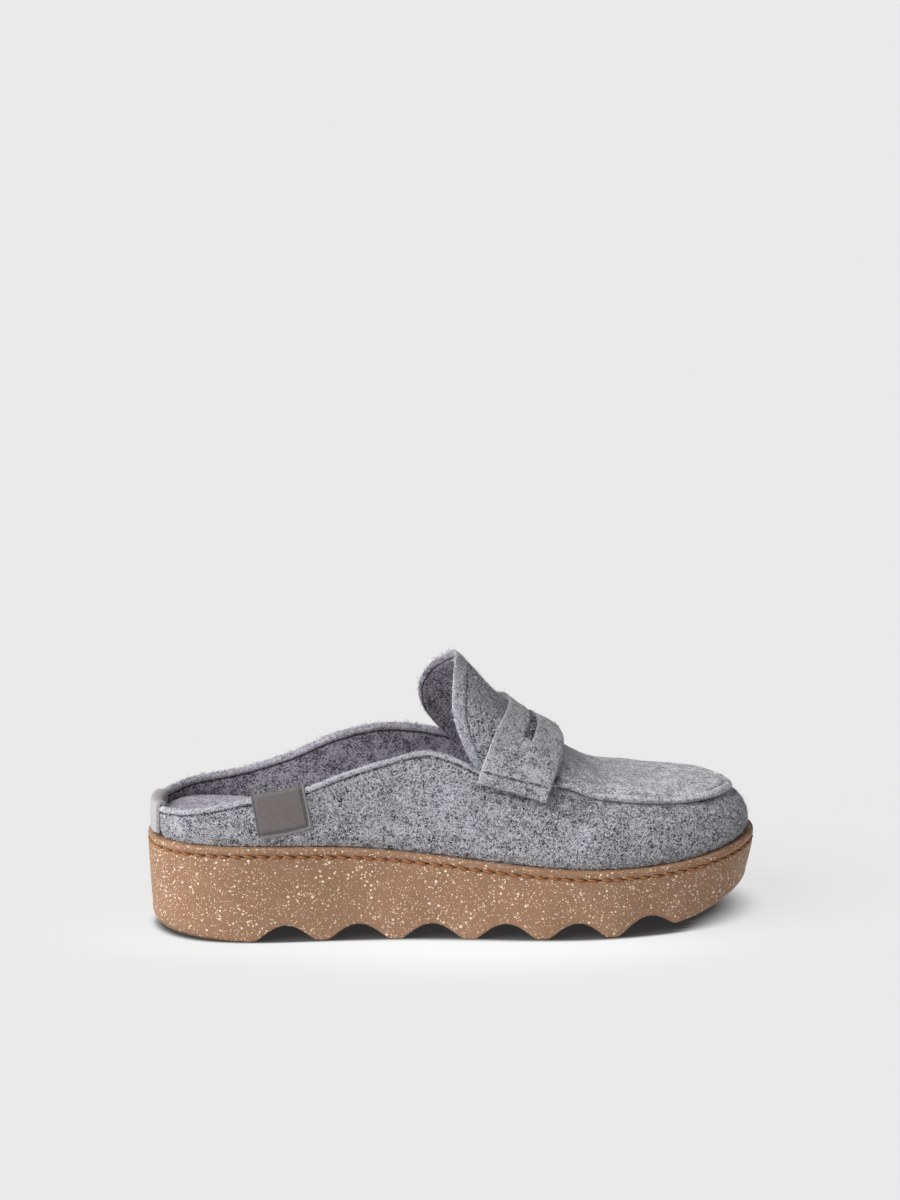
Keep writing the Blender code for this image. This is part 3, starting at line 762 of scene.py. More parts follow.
def felt(name, dark, pale, contrast=1.0):
    """Heather felt: dark and pale hairs in fine grains, cloudy at a few millimetres.

    The mark margin makes it paler, as at a cut edge, and the mark seam darkens it: along the stitched
    seams, and as painted shade where a piece sets it under edges, behind the strap and round its slot.
    """
    middle = tuple((a + b) / 2.0 for a, b in zip(dark, pale))
    material, tree, shader = shader_of(name, middle, 0.95)
    where = node(tree, "ShaderNodeTexCoord").outputs["Object"]
    grain = noise(tree, where, GRAIN_SCALE, 3.0, 0.72, 0.7)
    cloud = noise(tree, where, CLOUD_SCALE, 3.0, 0.6)
    drift = noise(tree, where, DRIFT_SCALE, 2.0, 0.5)
    margin = marked(tree, "margin")
    mixed = grain
    for value, factor in ((cloud, CLOUD_SHARE), (drift, DRIFT_SHARE), (margin, MARGIN_SHIFT)):
        mixed = worked(tree, "ADD", mixed, worked(tree, "MULTIPLY", value, factor))
    spread = GRAIN_SPREAD / contrast
    share = ranged(tree, mixed, GRAIN_MIDDLE - spread, GRAIN_MIDDLE + spread)
    colour = blended(tree, share, dark, pale)
    colour = blended(tree, worked(tree, "MULTIPLY", margin, MARGIN_PALE), colour, pale)
    shade = worked(tree, "MULTIPLY", marked(tree, "seam"), SEAM_AND_SHADE_DARK)
    colour = blended(tree, shade, colour, (0.012, 0.012, 0.014))
    tree.links.new(colour, shader.inputs["Base Color"])
    shader.inputs["Sheen Weight"].default_value = 0.25
    shader.inputs["Sheen Roughness"].default_value = 0.5
    shader.inputs["Specular IOR Level"].default_value = 0.15
    height = worked(tree, "ADD", grain, worked(tree, "MULTIPLY", cloud, 0.8))
    bumped(tree, shader, height, 0.7, 0.0008)
    return material


def flecks(tree, where, scale, radius, keep):
    """Share of cream fleck at a point: balls in the cells of a texture, only in some cells."""
    cells = node(tree, "ShaderNodeTexVoronoi", Scale=scale)
    tree.links.new(where, cells.inputs["Vector"])
    parts = node(tree, "ShaderNodeSeparateColor")
    tree.links.new(cells.outputs["Color"], parts.inputs["Color"])
    chosen = worked(tree, "GREATER_THAN", parts.outputs["Red"], 1.0 - keep)
    size = ranged(tree, parts.outputs["Green"], 0.0, 1.0, 0.45 * radius, radius)
    depth = worked(tree, "SUBTRACT", size, cells.outputs["Distance"])
    return worked(tree, "MULTIPLY", ranged(tree, depth, 0.0, 0.25 * radius), chosen)


def speckled(name, colour, shade, cream):
    """Moulded compound: tan, a little uneven, full of cream flecks of several sizes."""
    material, tree, shader = shader_of(name, colour, 0.62)
    where = node(tree, "ShaderNodeTexCoord").outputs["Object"]
    wobble = node(tree, "ShaderNodeTexNoise", Scale=800.0, Detail=1.0)
    tree.links.new(where, wobble.inputs["Vector"])
    shift = node(tree, "ShaderNodeVectorMath", operation="SCALE")
    tree.links.new(wobble.outputs["Color"], shift.inputs[0])
    shift.inputs["Scale"].default_value = 0.0007
    moved = node(tree, "ShaderNodeVectorMath", operation="ADD")
    tree.links.new(where, moved.inputs[0])
    tree.links.new(shift.outputs["Vector"], moved.inputs[1])
    there = moved.outputs["Vector"]
    tone = noise(tree, where, 90.0, 3.0, 0.6)
    fine = noise(tree, where, 1600.0, 2.0, 0.6)
    mixed = worked(tree, "ADD", worked(tree, "MULTIPLY", tone, 0.5), worked(tree, "MULTIPLY", fine, 0.6))
    base = blended(tree, ranged(tree, mixed, 0.40, 0.70), shade, colour)
    total = flecks(tree, there, *FLECKS[0])
    for row in FLECKS[1:]:
        total = worked(tree, "MAXIMUM", total, flecks(tree, there, *row))
    mixed = blended(tree, worked(tree, "MULTIPLY", total, 0.92), base, cream)
    tree.links.new(mixed, shader.inputs["Base Color"])
    shader.inputs["Specular IOR Level"].default_value = 0.35
    bumped(tree, shader, fine, 0.15, 0.0003)
    return material


def plain(name, colour, roughness, specular=0.3):
    """Even material without a texture."""
    material, _, shader = shader_of(name, colour, roughness)
    shader.inputs["Specular IOR Level"].default_value = specular
    return material


def leather(name, colour, shade, scale, roughness):
    """Soft synthetic leather: an even colour with a fine grain."""
    material, tree, shader = shader_of(name, colour, roughness)
    where = node(tree, "ShaderNodeTexCoord").outputs["Object"]
    grain = noise(tree, where, scale, 3.0, 0.6)
    base = blended(tree, ranged(tree, grain, 0.35, 0.65), shade, colour)
    base = blended(tree, worked(tree, "MULTIPLY", marked(tree, "seam"), 0.75), base, (0.03, 0.03, 0.032))
    tree.links.new(base, shader.inputs["Base Color"])
    bumped(tree, shader, grain, 0.35, 0.0004)
    return material


FELT = felt("felt", (0.028, 0.028, 0.032), (0.60, 0.60, 0.64))
PLUG = felt("plug_felt", (0.145, 0.145, 0.150), (0.80, 0.80, 0.845))
LINING = felt("lining_felt", (0.040, 0.038, 0.045), (0.52, 0.50, 0.555), 0.9)
FOOTBED = felt("insole_felt", (0.19, 0.178, 0.205), (0.66, 0.63, 0.70), 0.9)
SOLE = speckled("sole", (0.352, 0.201, 0.119), (0.279, 0.152, 0.086), (0.95, 0.76, 0.575))
TAB = leather("heel_tab", (0.455, 0.442, 0.442), (0.40, 0.387, 0.387), 1500.0, 0.5)
LABEL = leather("label", (0.165, 0.145, 0.148), (0.135, 0.118, 0.120), 1100.0, 0.55)
THREAD = plain("thread", (0.31, 0.13, 0.046), 0.65)
LABEL_UNDER = plain("label_under", (0.30, 0.28, 0.285), 0.6)
PALE_HAIR = plain("pale_hair", (0.62, 0.62, 0.66), 0.9, 0.2)
DARK_HAIR = plain("dark_hair", (0.05, 0.05, 0.056), 0.9, 0.2)


# Sole

def make_outsole():
    """Platform as rings round the outline, from the foot over the roll up the side and the top.

    A ring at a share of the roll follows a quarter circle between the tread and the side. The
    side leans in to its foot, swells by a fraction of the groove and turns in under the welt.
    """
    angles = round_angles(OUTSOLE_COLUMNS)
    x = rim(angles)[:, 0]
    roll = edge_roll(x)
    lean = taper(x)
    rings = []
    flat = outline(angles, lean + roll + 0.004)
    rings.append(np.column_stack([flat, tread(x)]))
    for turn in np.linspace(0.0, math.pi / 2.0, 8):
        flat = outline(angles, lean + (1.0 - math.sin(turn)) * roll)
        rings.append(np.column_stack([flat, tread(x) + (1.0 - math.cos(turn)) * roll]))
    low = tread(x) + roll
    top = groove_height(x)
    for part in np.linspace(0.06, 0.94, 20):
        inset = lean * (1.0 - part) ** 1.3 + 0.10 * GROOVE_DEPTH
        flat = outline(angles, inset)
        rings.append(np.column_stack([flat, low + part * (top - low)]))
    for part, inset in SOLE_SHOULDER:
        flat = outline(angles, inset * GROOVE_DEPTH)
        rings.append(np.column_stack([flat, low + part * (top - low)]))
    rings.append(np.column_stack([outline(angles, WELT_WIDTH), top]))
    rings = np.array(rings)
    piece = outward(mesh_piece("outsole_fine", rings, capped_faces(rings), SOLE, merge=SAME_POINT))
    piece.data.set_sharp_from_angle(angle=math.radians(40.0))
    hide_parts("outsole")


def make_welt():
    """Band on the sole: a rounded outer face over the groove, a soft upper edge, a flat top.

    A row of the profile is the inset in groove depths and the share of the band's height.
    """
    angles = round_angles(WELT_COLUMNS)
    inner = WELT_WIDTH / GROOVE_DEPTH
    profile = (
        (inner, 0.0), (1.6, 0.0), (1.1, 0.02), (0.72, 0.10), (0.42, 0.22), (0.20, 0.38),
        (0.10, 0.55), (0.06, 0.70), (0.12, 0.84), (0.30, 0.93), (0.60, 0.985), (1.0, 1.0),
        (inner, 1.0),
    )
    rings = []
    for inset, part in profile:
        flat = outline(angles, inset * GROOVE_DEPTH)
        low = groove_height(flat[:, 0]) + GAP
        rings.append(np.column_stack([flat, low + part * (WELT_HEIGHT - GAP)]))
    rings = np.array(rings)
    rows, columns, _ = rings.shape
    faces = grid_faces(rows, columns, True, True)
    piece = outward(mesh_piece("welt_fine", rings, faces, SOLE))
    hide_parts("welt")


def tube_faces(count, rings, sides):
    """Quads of many equal tubes whose rings follow each other in the list of points."""
    one = grid_faces(rings, sides, False, True)
    starts = np.arange(count) * rings * sides
    return (one[None, :, :] + starts[:, None, None]).reshape(-1, 4)


def tubes(centres, radii, up, sides):
    """Points of tubes round lines of centres (count, rings, 3), with a radius at every ring."""
    along = np.gradient(centres, axis=1)
    along /= np.linalg.norm(along, axis=-1, keepdims=True)
    across = np.cross(along, up)
    across /= np.linalg.norm(across, axis=-1, keepdims=True)
    rise = np.cross(across, along)
    turn = np.arange(sides) * 2.0 * math.pi / sides
    ring = across[:, :, None, :] * np.cos(turn)[:, None] + rise[:, :, None, :] * np.sin(turn)[:, None]
    return centres[:, :, None, :] + ring * radii[..., None, None]


def make_welt_thread():
    """Rope-like stitches in the groove: each a thick lens that leans down to the toe.

    A stitch runs from high on its heel end to low on its toe end, bulges out in its middle
    and dips into the groove at both ends.
    """
    fine = np.linspace(0.0, 2.0 * math.pi, 6001)
    length = arc_lengths(rim(fine)[None], 1)[0]
    count = int(round(length[-1] / THREAD_PITCH))
    chance = np.random.default_rng(7)
    start = (np.arange(count) + chance.uniform(-0.06, 0.06, count)) * length[-1] / count
    part = np.linspace(-0.5, 0.5, 9)
    reach = 0.93 * THREAD_PITCH
    place = (start[:, None] + part[None, :] * reach) % length[-1]
    angles = np.interp(place, length, fine)
    swell = np.cos(part * math.pi)[None, :]
    toward_toe = np.where(np.sin(angles) >= 0.0, 1.0, -1.0)
    at_ends = ease(1.0 - np.minimum(share_of(angles), 1.0 - share_of(angles)) / 0.10)
    inset = THREAD_INSET - THREAD_BULGE * swell + THREAD_SINK * at_ends
    flat = outline(angles, inset)
    z = groove_height(flat[..., 0]) + THREAD_RISE - THREAD_LEAN * part[None, :] * toward_toe
    z = z + 0.0001 * swell + chance.uniform(-0.00012, 0.00012, (count, 1))
    centres = np.concatenate([flat, z[..., None]], axis=-1)
    radii = THREAD_RADIUS * (0.22 + 0.78 * swell**0.7) * np.ones((count, 1))
    points = tubes(centres, radii, np.array([0.0, 0.0, 1.0]), 8)
    faces = tube_faces(count, 9, 8)
    piece = mesh_piece("welt_thread", points, faces, THREAD)
    outward(piece)


def make_insole():
    """Footbed with a soft edge, slightly dished, in rings from its foot to its middle."""
    angles = round_angles(FOOTBED_COLUMNS)
    share = share_of(angles)
    edge = WELT_WIDTH + GAP
    rings = []
    flat = outline(angles, edge)
    rings.append(np.column_stack([flat, groove_height(flat[:, 0]) + GAP]))
    cup = HEEL_CUP * ease((HEEL_CUP_END - share) / HEEL_CUP_REACH)
    for inward, drop in FOOTBED_ROUND:
        rim_line = outline(angles, edge + inward)
        rings.append(np.column_stack([rim_line, insole_top(rim_line[:, 0]) - drop + cup]))
    spine_x = SOLE_LENGTH * np.clip(share, 0.16, 0.84)
    core = np.stack([spine_x, middle_line(spine_x / SOLE_LENGTH)], axis=-1)
    for part in np.linspace(0.06, 1.0, 16):
        flat = rim_line + part * (core - rim_line)
        dish = FOOTBED_DISH * ease(part * 1.4)
        lifted = cup * (1.0 - ease(part / 0.75))
        rings.append(np.column_stack([flat, insole_top(flat[:, 0]) - dish + lifted]))
    rings = np.array(rings)
    marks = {"margin": np.zeros(rings.shape[:2]), "seam": np.zeros(rings.shape[:2])}
    piece = mesh_piece("insole_fine", rings, capped_faces(rings), FOOTBED, marks, SAME_POINT)
    outward(piece)
    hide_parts("insole")


# Upper

def climbs_below(angles, distances):
    """Climbs at distances below the edge, measured along the felt, for each angle."""
    top = edge_climb(angles)
    part = np.linspace(0.0, 1.0, 160)
    climbs = top[None, :] * (1.0 - part[:, None])
    points = last_point(angles[None, :], climbs, 0.0)
    length = arc_lengths(points, 0)
    return np.array([
        np.interp(distances[:, k], length[:, k], climbs[:, k]) for k in range(len(angles))
    ]).T


def wall_heights(angles):
    """Length of the felt from its edge to its foot, for each angle."""
    top = edge_climb(angles)
    climbs = top[None, :] * np.linspace(1.0, 0.0, 160)[:, None]
    return arc_lengths(last_point(angles[None, :], climbs, 0.0), 0)[-1]


def stitched(distance, along, place, pitch):
    """How deep a seam lies at a point: a groove at a distance from the edge, deeper at stitches."""
    line = bump_at(distance, place, SEAM_WIDTH)
    beat = 0.5 + 0.5 * np.cos(along * 2.0 * math.pi / pitch)
    return line * (0.45 + 0.55 * beat**0.7)


def make_upper():
    """Felt wall: up the outside, over the cut edge and down the inside, rings round the shoe.

    Its offset from the last is the sum of slow lumps, of a puff in the margin above the collar
    seam and of the seam's groove.
    """
    angles = round_angles(WALL_COLUMNS)
    columns = len(angles)
    height = wall_heights(angles)
    near = np.linspace(COLLAR_BAND, FELT_WALL / 2.0, 26)
    lower = np.linspace(0.0, 1.0, 44)[:-1]
    outside = [height - (height - COLLAR_BAND) * part for part in lower]
    outside += [np.full(columns, distance) for distance in near]
    turn = np.linspace(0.0, math.pi, 11)[1:-1]
    over = [np.full(columns, FELT_WALL / 2.0 * (1.0 - math.sin(a))) for a in turn]
    distances = np.array(outside + over + outside[::-1])
    count = len(outside)
    sides = np.concatenate([np.zeros(count), (1.0 - np.cos(turn)) / 2.0, np.ones(count)])
    offsets = np.broadcast_to(-FELT_WALL * sides[:, None], distances.shape)
    climbs = climbs_below(angles, distances)
    base = last_point(angles[None, :], climbs, offsets)
    along = arc_lengths(last_point(angles, edge_climb(angles), 0.0)[None], 1)
    along = np.broadcast_to(along, distances.shape)
    collar = ease((0.62 - share_of(angles)) / 0.04)[None, :]
    puff = MARGIN_PUFF * ease(1.0 - np.abs(distances / MARGIN - 0.45) / 0.75) * collar
    seam = stitched(distances, along, MARGIN, SEAM_STITCH) * collar
    slow = uneven(base, WALL_LUMPS)
    over_foot = height[None, :] - distances
    held = ease(over_foot / 0.008)
    outer = np.where(sides < 0.5, 1.0, 0.0)[:, None]
    tuck = FOOT_TUCK * (1.0 - ease(over_foot / TUCK_HEIGHT)) * outer
    creased = trough(base[..., 0], base[..., 2], WALL_CREASES)
    grown = slow * held + puff - SEAM_DEPTH * seam - tuck - creased * held
    facing = np.where(sides < 0.5, 1.0, -0.7)[:, None] * np.abs(1.0 - 2.0 * sides)[:, None]
    points = last_point(angles[None, :], climbs, offsets + grown * facing)
    margin = 1.1 * ease((MARGIN - distances) / 0.0006) * collar
    # Painted shadow on the outside of the wall: a dark band just under the apron's edge. The seam mark
    # carries it and the strap's painted shadow together with the collar's stitched seam.
    apron_edge_painted_shadow = 0.6 * bump_at(distances, APRON_LAP + 0.0005, 0.0009) * (1.0 - collar)
    # Painted shadow: dark lines on the wall under the strap's lower cut.
    strap_cut_painted_shadow = trough(base[..., 0], base[..., 2], STRAP_CUT_PAINTED_SHADOW)
    shade = np.maximum(2.2 * seam, outer * np.maximum(apron_edge_painted_shadow, strap_cut_painted_shadow))
    marks = {"margin": margin, "seam": np.clip(shade, 0.0, 1.0)}
    faces = grid_faces(len(distances), columns, True, True)
    piece = outward(mesh_piece("upper_fine", points, faces, FELT, marks))
    piece.data.materials.append(LINING)
    row = np.arange(len(faces)) // columns
    inside = (row >= count + len(turn) // 2).astype(np.int32)
    piece.data.polygons.foreach_set("material_index", inside)
    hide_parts("upper")
    return points[:count + len(turn)]


def rounded(distance, radius):
    """How far a face drops at a distance from a cut edge that is rounded by the radius."""
    left = np.clip(radius - distance, 0.0, radius)
    return radius - np.sqrt(np.maximum(radius**2 - left**2, 0.0))


def felt_slab(name, front, back, marks, keep=None, merge=0.0, material=FELT):
    """Piece of felt between two grids of points."""
    rows, columns, _ = front.shape
    faces = slab_faces(rows, columns, keep)
    points = np.concatenate([front.reshape(-1, 3), back.reshape(-1, 3)])
    both = {key: np.concatenate([a.ravel(), b.ravel()]) for key, (a, b) in marks.items()}
    piece = mesh_piece(name, points, faces, material, both, merge)
    outward(piece)
    return piece


def line_back(piece, shape):
    """Gives the back face of a slab the lining."""
    piece.data.materials.append(LINING)
    cells = (shape[0] - 1) * (shape[1] - 1)
    index = np.zeros(len(piece.data.polygons), np.int32)
    index[cells:2 * cells] = 1
    piece.data.polygons.foreach_set("material_index", index)


def make_apron():
    """Plug over the front opening: a rolled rim with a seam inside it, and soft lumps."""
    start = APRON_BACK / SOLE_LENGTH
    low_angle = float(angle_of(start, -1))
    shares = share_of(np.linspace(low_angle, math.pi, APRON_ROWS))
    part = np.linspace(-1.0, 1.0, APRON_COLUMNS)
    place = np.sign(part) * (1.0 - (1.0 - np.abs(part)) ** 1.6)
    shares = np.broadcast_to(shares[:, None], (len(shares), len(place)))
    angles = angle_of(shares, np.where(place > 0.0, 1, -1)[None, :])
    reach = math.pi / 2.0 - edge_climb(angles, APRON_LAP)
    climbs = math.pi / 2.0 - np.abs(place)[None, :] * reach
    base = last_point(angles, climbs, GAP + APRON_THICKNESS)
    across = arc_lengths(base, 1)
    from_edge = np.minimum(across, across[:, -1:] - across)
    along = arc_lengths(base, 0)[:, :1]
    along_right = arc_lengths(base, 0)[:, -1:]
    along = np.where(place[None, :] > 0.0, along_right, along)
    line = stitched(from_edge, along, APRON_MARGIN, SEAM_STITCH)
    dip = APRON_DIP * bump_at(from_edge, APRON_MARGIN, APRON_DIP_WIDTH)
    roll = APRON_ROLL * ease(1.0 - np.abs(from_edge / APRON_MARGIN - 0.50) / 0.60)
    slow = uneven(base, APRON_LUMPS)
    slow = slow - trough(base[..., 0], base[..., 1], APRON_CREASES)
    top = slow + roll - dip - 0.00015 * line - rounded(from_edge, STRAP_ROUND)
    bottom = slow * 0.3 + rounded(from_edge, CUT_ROUND) * 0.8
    front = last_point(angles, climbs, GAP + APRON_THICKNESS + top)
    back = last_point(angles, climbs, GAP + bottom)
    margin = 0.35 * ease((0.0022 - from_edge) / 0.001)
    # Painted shade on the apron behind the strap's middle, where it shows only through the slot; the seam
    # mark carries it with the rim's stitches.
    painted_shade_under_strap = 0.95 * ease((STRAP_MIDDLE + 0.008 - base[..., 0]) / 0.004)
    nothing = np.zeros_like(from_edge)
    marks = {"margin": (margin, nothing), "seam": (np.maximum(0.25 * line, painted_shade_under_strap), nothing)}
    piece = felt_slab("apron_fine", front, back, marks, merge=SAME_POINT, material=PLUG)
    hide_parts("apron")
    return front


def make_tongue():
    """Arched sheet behind the apron with a rolled margin along its free edge."""
    place = np.sin(np.linspace(-math.pi / 2.0, math.pi / 2.0, 181))
    reach = TONGUE_REACH * smooth_curve(*zip(*TONGUE_EDGE), place)
    root = APRON_BACK - 2.0 * GAP
    steps = 1.0 - (1.0 - np.linspace(0.0, 1.0, 90)) ** 1.5
    shares = (root - steps[:, None] * reach[None, :]) / SOLE_LENGTH
    angles = angle_of(shares, np.where(place > 0.0, 1, -1)[None, :])
    edge = edge_climb(angles)
    low = edge_climb(angles, TONGUE_TUCK)
    climbs = math.pi / 2.0 - np.abs(place)[None, :] * (math.pi / 2.0 - low)
    inside_wall = -FELT_WALL - GAP
    over = GAP + APRON_THICKNESS
    level = inside_wall + (over - inside_wall) * ease((climbs - edge - TONGUE_STEP_START) / TONGUE_STEP)
    base = last_point(angles, climbs, level)
    up = arc_lengths(base, 0)
    along = arc_lengths(base, 1)[-1:]
    slant = np.gradient(reach) / np.gradient(along[0])
    from_edge = (up[-1:] - up) / np.sqrt(1.0 + slant**2)
    line = stitched(from_edge, along, TONGUE_MARGIN, SEAM_STITCH)
    hem = stitched(from_edge, along, TONGUE_HEM, SEAM_STITCH)
    roll = TONGUE_ROLL * (1.0 - ease((from_edge - 0.7 * TONGUE_MARGIN) / (0.3 * TONGUE_MARGIN)))
    slow = uneven(base, TONGUE_LUMPS)
    slow = slow - trough(base[..., 0], base[..., 1], TONGUE_CREASES)
    front = last_point(angles, climbs, level + slow + roll - 0.0007 * line
                       - rounded(from_edge, TONGUE_ROUND))
    back = last_point(angles, climbs, level - TONGUE_THICKNESS + slow - 0.3 * roll + 0.0006 * hem
                      + rounded(from_edge, TONGUE_ROUND))
    margin = 1.1 * ease((TONGUE_MARGIN - from_edge) / 0.001)
    inner = 0.3 * ease((TONGUE_HEM - from_edge) / 0.0006)
    # The back's seam mark is the hem's stitches and at least 0.34 everywhere: painted shade over the
    # tongue's inside.
    marks = {"margin": (margin, inner), "seam": (0.8 * line, np.maximum(hem, 0.34))}
    piece = felt_slab("tongue_fine", front, back, marks)
    line_back(piece, front.shape)
    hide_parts("tongue")
    return front


def strap_grid(place, along, offset):
    """Points over the instep at places across it and along the strap's width."""
    toward_end = (1.0 - np.cos(STRAP_TURN * np.abs(place))) / (1.0 - math.cos(STRAP_TURN))
    width = STRAP_WIDTH + STRAP_FLARE * toward_end
    share = (STRAP_MIDDLE - STRAP_SWEEP * toward_end + along * width / 2.0) / SOLE_LENGTH
    angles = angle_of(share, np.where(place > 0.0, 1, -1))
    low = climb_to(angles, STRAP_END_HEIGHT - along * STRAP_END_TILT / 2.0)
    climbs = math.pi / 2.0 - np.abs(place) * (math.pi / 2.0 - low)
    lap = edge_climb(angles, APRON_LAP)
    over = ease((climbs - low) / np.maximum(lap - low, 1e-6) / STRAP_STEP)
    forward = ease((along - STRAP_LIFT_START) / (1.0 - STRAP_LIFT_START))
    lift = STRAP_LIFT * (1.0 - ease(np.abs(place) / STRAP_LIFT_REACH)) * forward
    end_lift = STRAP_END_LIFT * ease((np.abs(place) - 0.86) / 0.14)
    step = GAP + (APRON_THICKNESS + GAP) * over + lift + end_lift
    return last_point(angles, climbs, step + offset)


def make_strap():
    """Thick felt band with a slot: the cells of the slot are left out and walled."""
    half = SLOT_LENGTH / 2.0 / STRAP_HALF_SPAN
    slot = SLOT_WIDTH / STRAP_WIDTH
    outer = half + (1.0 - half) * np.linspace(0.0, 1.0, 78)
    outer[-8:] = 1.0 - (1.0 - outer[-8]) * (1.0 - np.linspace(0.0, 1.0, 8)) ** 1.4
    inner = np.linspace(-half, half, 71)
    place = np.concatenate([-outer[::-1], inner[1:-1], outer])
    thin = 1.0 - (1.0 - np.linspace(0.0, 1.0, 26)) ** 1.3
    behind = SLOT_FORWARD - slot - (SLOT_FORWARD - slot + 1.0) * thin
    ahead = SLOT_FORWARD + slot + (1.0 - SLOT_FORWARD - slot) * thin
    between = SLOT_FORWARD + np.linspace(-slot, slot, 7)[1:-1]
    along = np.concatenate([behind[::-1], between, ahead])
    place, along = np.meshgrid(place, along)
    base = strap_grid(place, along, STRAP_THICKNESS)
    across = arc_lengths(base, 1)
    wide = arc_lengths(base, 0)
    from_end = np.minimum(across, across[:, -1:] - across)
    from_side = np.minimum(wide, wide[-1:] - wide)
    slot_side = (np.abs(along - SLOT_FORWARD) - slot) * STRAP_WIDTH / 2.0
    slot_end = (np.abs(place) - half) * STRAP_HALF_SPAN
    from_slot = np.hypot(np.maximum(slot_side, 0.0), np.maximum(slot_end, 0.0))
    from_edge = np.minimum(np.minimum(from_end, from_side), from_slot)
    line = stitched(from_end, wide, STRAP_SEAM, SEAM_STITCH) * ease(from_side / 0.003)
    slow = uneven(base, STRAP_LUMPS)
    top = STRAP_THICKNESS + slow - rounded(from_edge, STRAP_ROUND) - 0.0008 * line
    bottom = 0.2 * slow + rounded(from_edge, 0.8 * STRAP_ROUND)
    front = strap_grid(place, along, top)
    back = strap_grid(place, along, bottom)
    centre_place = (place[:-1, :-1] + place[1:, 1:]) / 2.0
    centre_along = (along[:-1, :-1] + along[1:, 1:]) / 2.0
    keep = ~((np.abs(centre_place) < half) & (np.abs(centre_along - SLOT_FORWARD) < slot))
    margin = np.maximum(0.42, 1.3 * ease((0.0026 - wide) / 0.0008))
    # Painted shade: the back face is dark round the slot, so that the slot's walls darken downward, and the
    # front face darkens a little at the slot's rim, besides the stitches of the seam at the strap's ends.
    slot_painted_shade = 0.95 * ease((0.0012 - from_slot) / 0.0008)
    seam_and_slot_painted_shade = np.maximum(np.clip(1.6 * line, 0.0, 1.0), 0.35 * ease((0.0005 - from_slot) / 0.0004))
    marks = {"margin": (margin, margin), "seam": (seam_and_slot_painted_shade, slot_painted_shade)}
    piece = felt_slab("saddle_strap_fine", front, back, marks, keep)
    loose = bmesh.new()
    loose.from_mesh(piece.data)
    bmesh.ops.delete(loose, geom=[v for v in loose.verts if not v.link_faces], context="VERTS")
    loose.to_mesh(piece.data)
    loose.free()
    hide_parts("saddle_strap")
    return front


def folded_section(reach, outer_drop, inner_drop):
    """Offset, drop and lift along a face folded over the upper's edge, off the felt by reach."""
    down = np.linspace(1.0, 0.0, 24)
    turn = np.linspace(0.0, math.pi, 13)[1:-1]
    half = FELT_WALL / 2.0 + reach
    outer = [(reach, outer_drop * part, 0.0) for part in down]
    over = [(-FELT_WALL / 2.0 + half * math.cos(a), 0.0, reach * math.sin(a)) for a in turn]
    inner = [(-FELT_WALL - reach, inner_drop * part, 0.0) for part in down[::-1]]
    return outer + over + inner


def fold_grid(shares, sides, outer_drop, inner_drop, lean, reach):
    """Points of a face folded over the upper's edge."""
    rows = []
    for offset, drop, lift in folded_section(reach, outer_drop, inner_drop):
        angles = angle_of(shares + lean * drop / SOLE_LENGTH, sides)
        climbs = edge_climb(angles, drop)
        rows.append(last_point(angles, climbs, offset) + np.array([0.0, 0.0, lift]))
    return np.array(rows)


def trim(name, shares, sides, outer_drop, inner_drop, lean, thickness, material, seam_inset,
         hem=-1.0):
    """Thin leather over the upper's edge with rounded rims, side seams and a hem line.

    A seam or a hem at -1 is left out.
    """
    low = fold_grid(shares, sides, outer_drop, inner_drop, lean, GAP * 0.6)
    high = fold_grid(shares, sides, outer_drop, inner_drop, lean, GAP + thickness)
    across = arc_lengths(high, 1)
    down = arc_lengths(high, 0)
    from_edge = np.minimum(np.minimum(across, across[:, -1:] - across),
                           np.minimum(down, down[-1:] - down))
    fall = rounded(from_edge, 0.8 * thickness) / thickness
    from_side = np.minimum(across, across[:, -1:] - across)
    line = np.maximum(stitched(from_side, down, seam_inset, 0.0026), bump_at(down, hem, 0.00035))
    fall = np.clip(fall + 0.45 * line, 0.0, 1.0)
    front = high + fall[..., None] * (low - high)
    rows, columns, _ = front.shape
    points = np.concatenate([front.reshape(-1, 3), low.reshape(-1, 3)])
    marks = {"seam": np.concatenate([line.ravel(), np.zeros(line.size)])}
    piece = mesh_piece(name, points, slab_faces(rows, columns), material, marks)
    return outward(piece)


def make_heel_tab():
    """Smooth strip over the centre back, down to the welt outside."""
    reach = HEEL_TAB_WIDTH / math.sqrt(2.0 * HEEL_END_RADIUS * SOLE_LENGTH)
    around = np.linspace(-reach, reach, TRIM_COLUMNS)
    sides = np.where(around > 0.0, 1, -1)
    drop = BACK_HEIGHT - HEEL_HEIGHT - 2.0 * GAP
    turn_in = TRIM_TURN_IN * (BACK_HEIGHT - float(insole_top(0.0)))
    piece = trim("heel_tab_fine", share_of(around), sides, drop, turn_in, 0.0,
                 TRIM_THICKNESS, TAB, 0.0007)
    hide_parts("heel_tab")


def make_label():
    """Soft label over the collar on the outer side, leaning with the topline."""
    start = LABEL_START / SOLE_LENGTH
    shares = np.linspace(start, start + LABEL_WIDTH / SOLE_LENGTH, TRIM_COLUMNS)
    sides = np.full(TRIM_COLUMNS, -1)
    room = float(topline_height(angle_of(start, -1)) - insole_top(LABEL_START))
    piece = trim("side_label_fine", shares, sides, LABEL_HEIGHT, TRIM_TURN_IN * room, LABEL_LEAN,
                 TRIM_THICKNESS, LABEL, 0.0009, LABEL_HEM)
    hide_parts("side_label")
    under = trim("side_label_under", shares + 0.0008 / SOLE_LENGTH, sides,
                 LABEL_HEIGHT + LABEL_UNDER_DROP, TRIM_TURN_IN * room, LABEL_LEAN,
                 0.6 * TRIM_THICKNESS, LABEL_UNDER, -1.0)


# Felt hairs

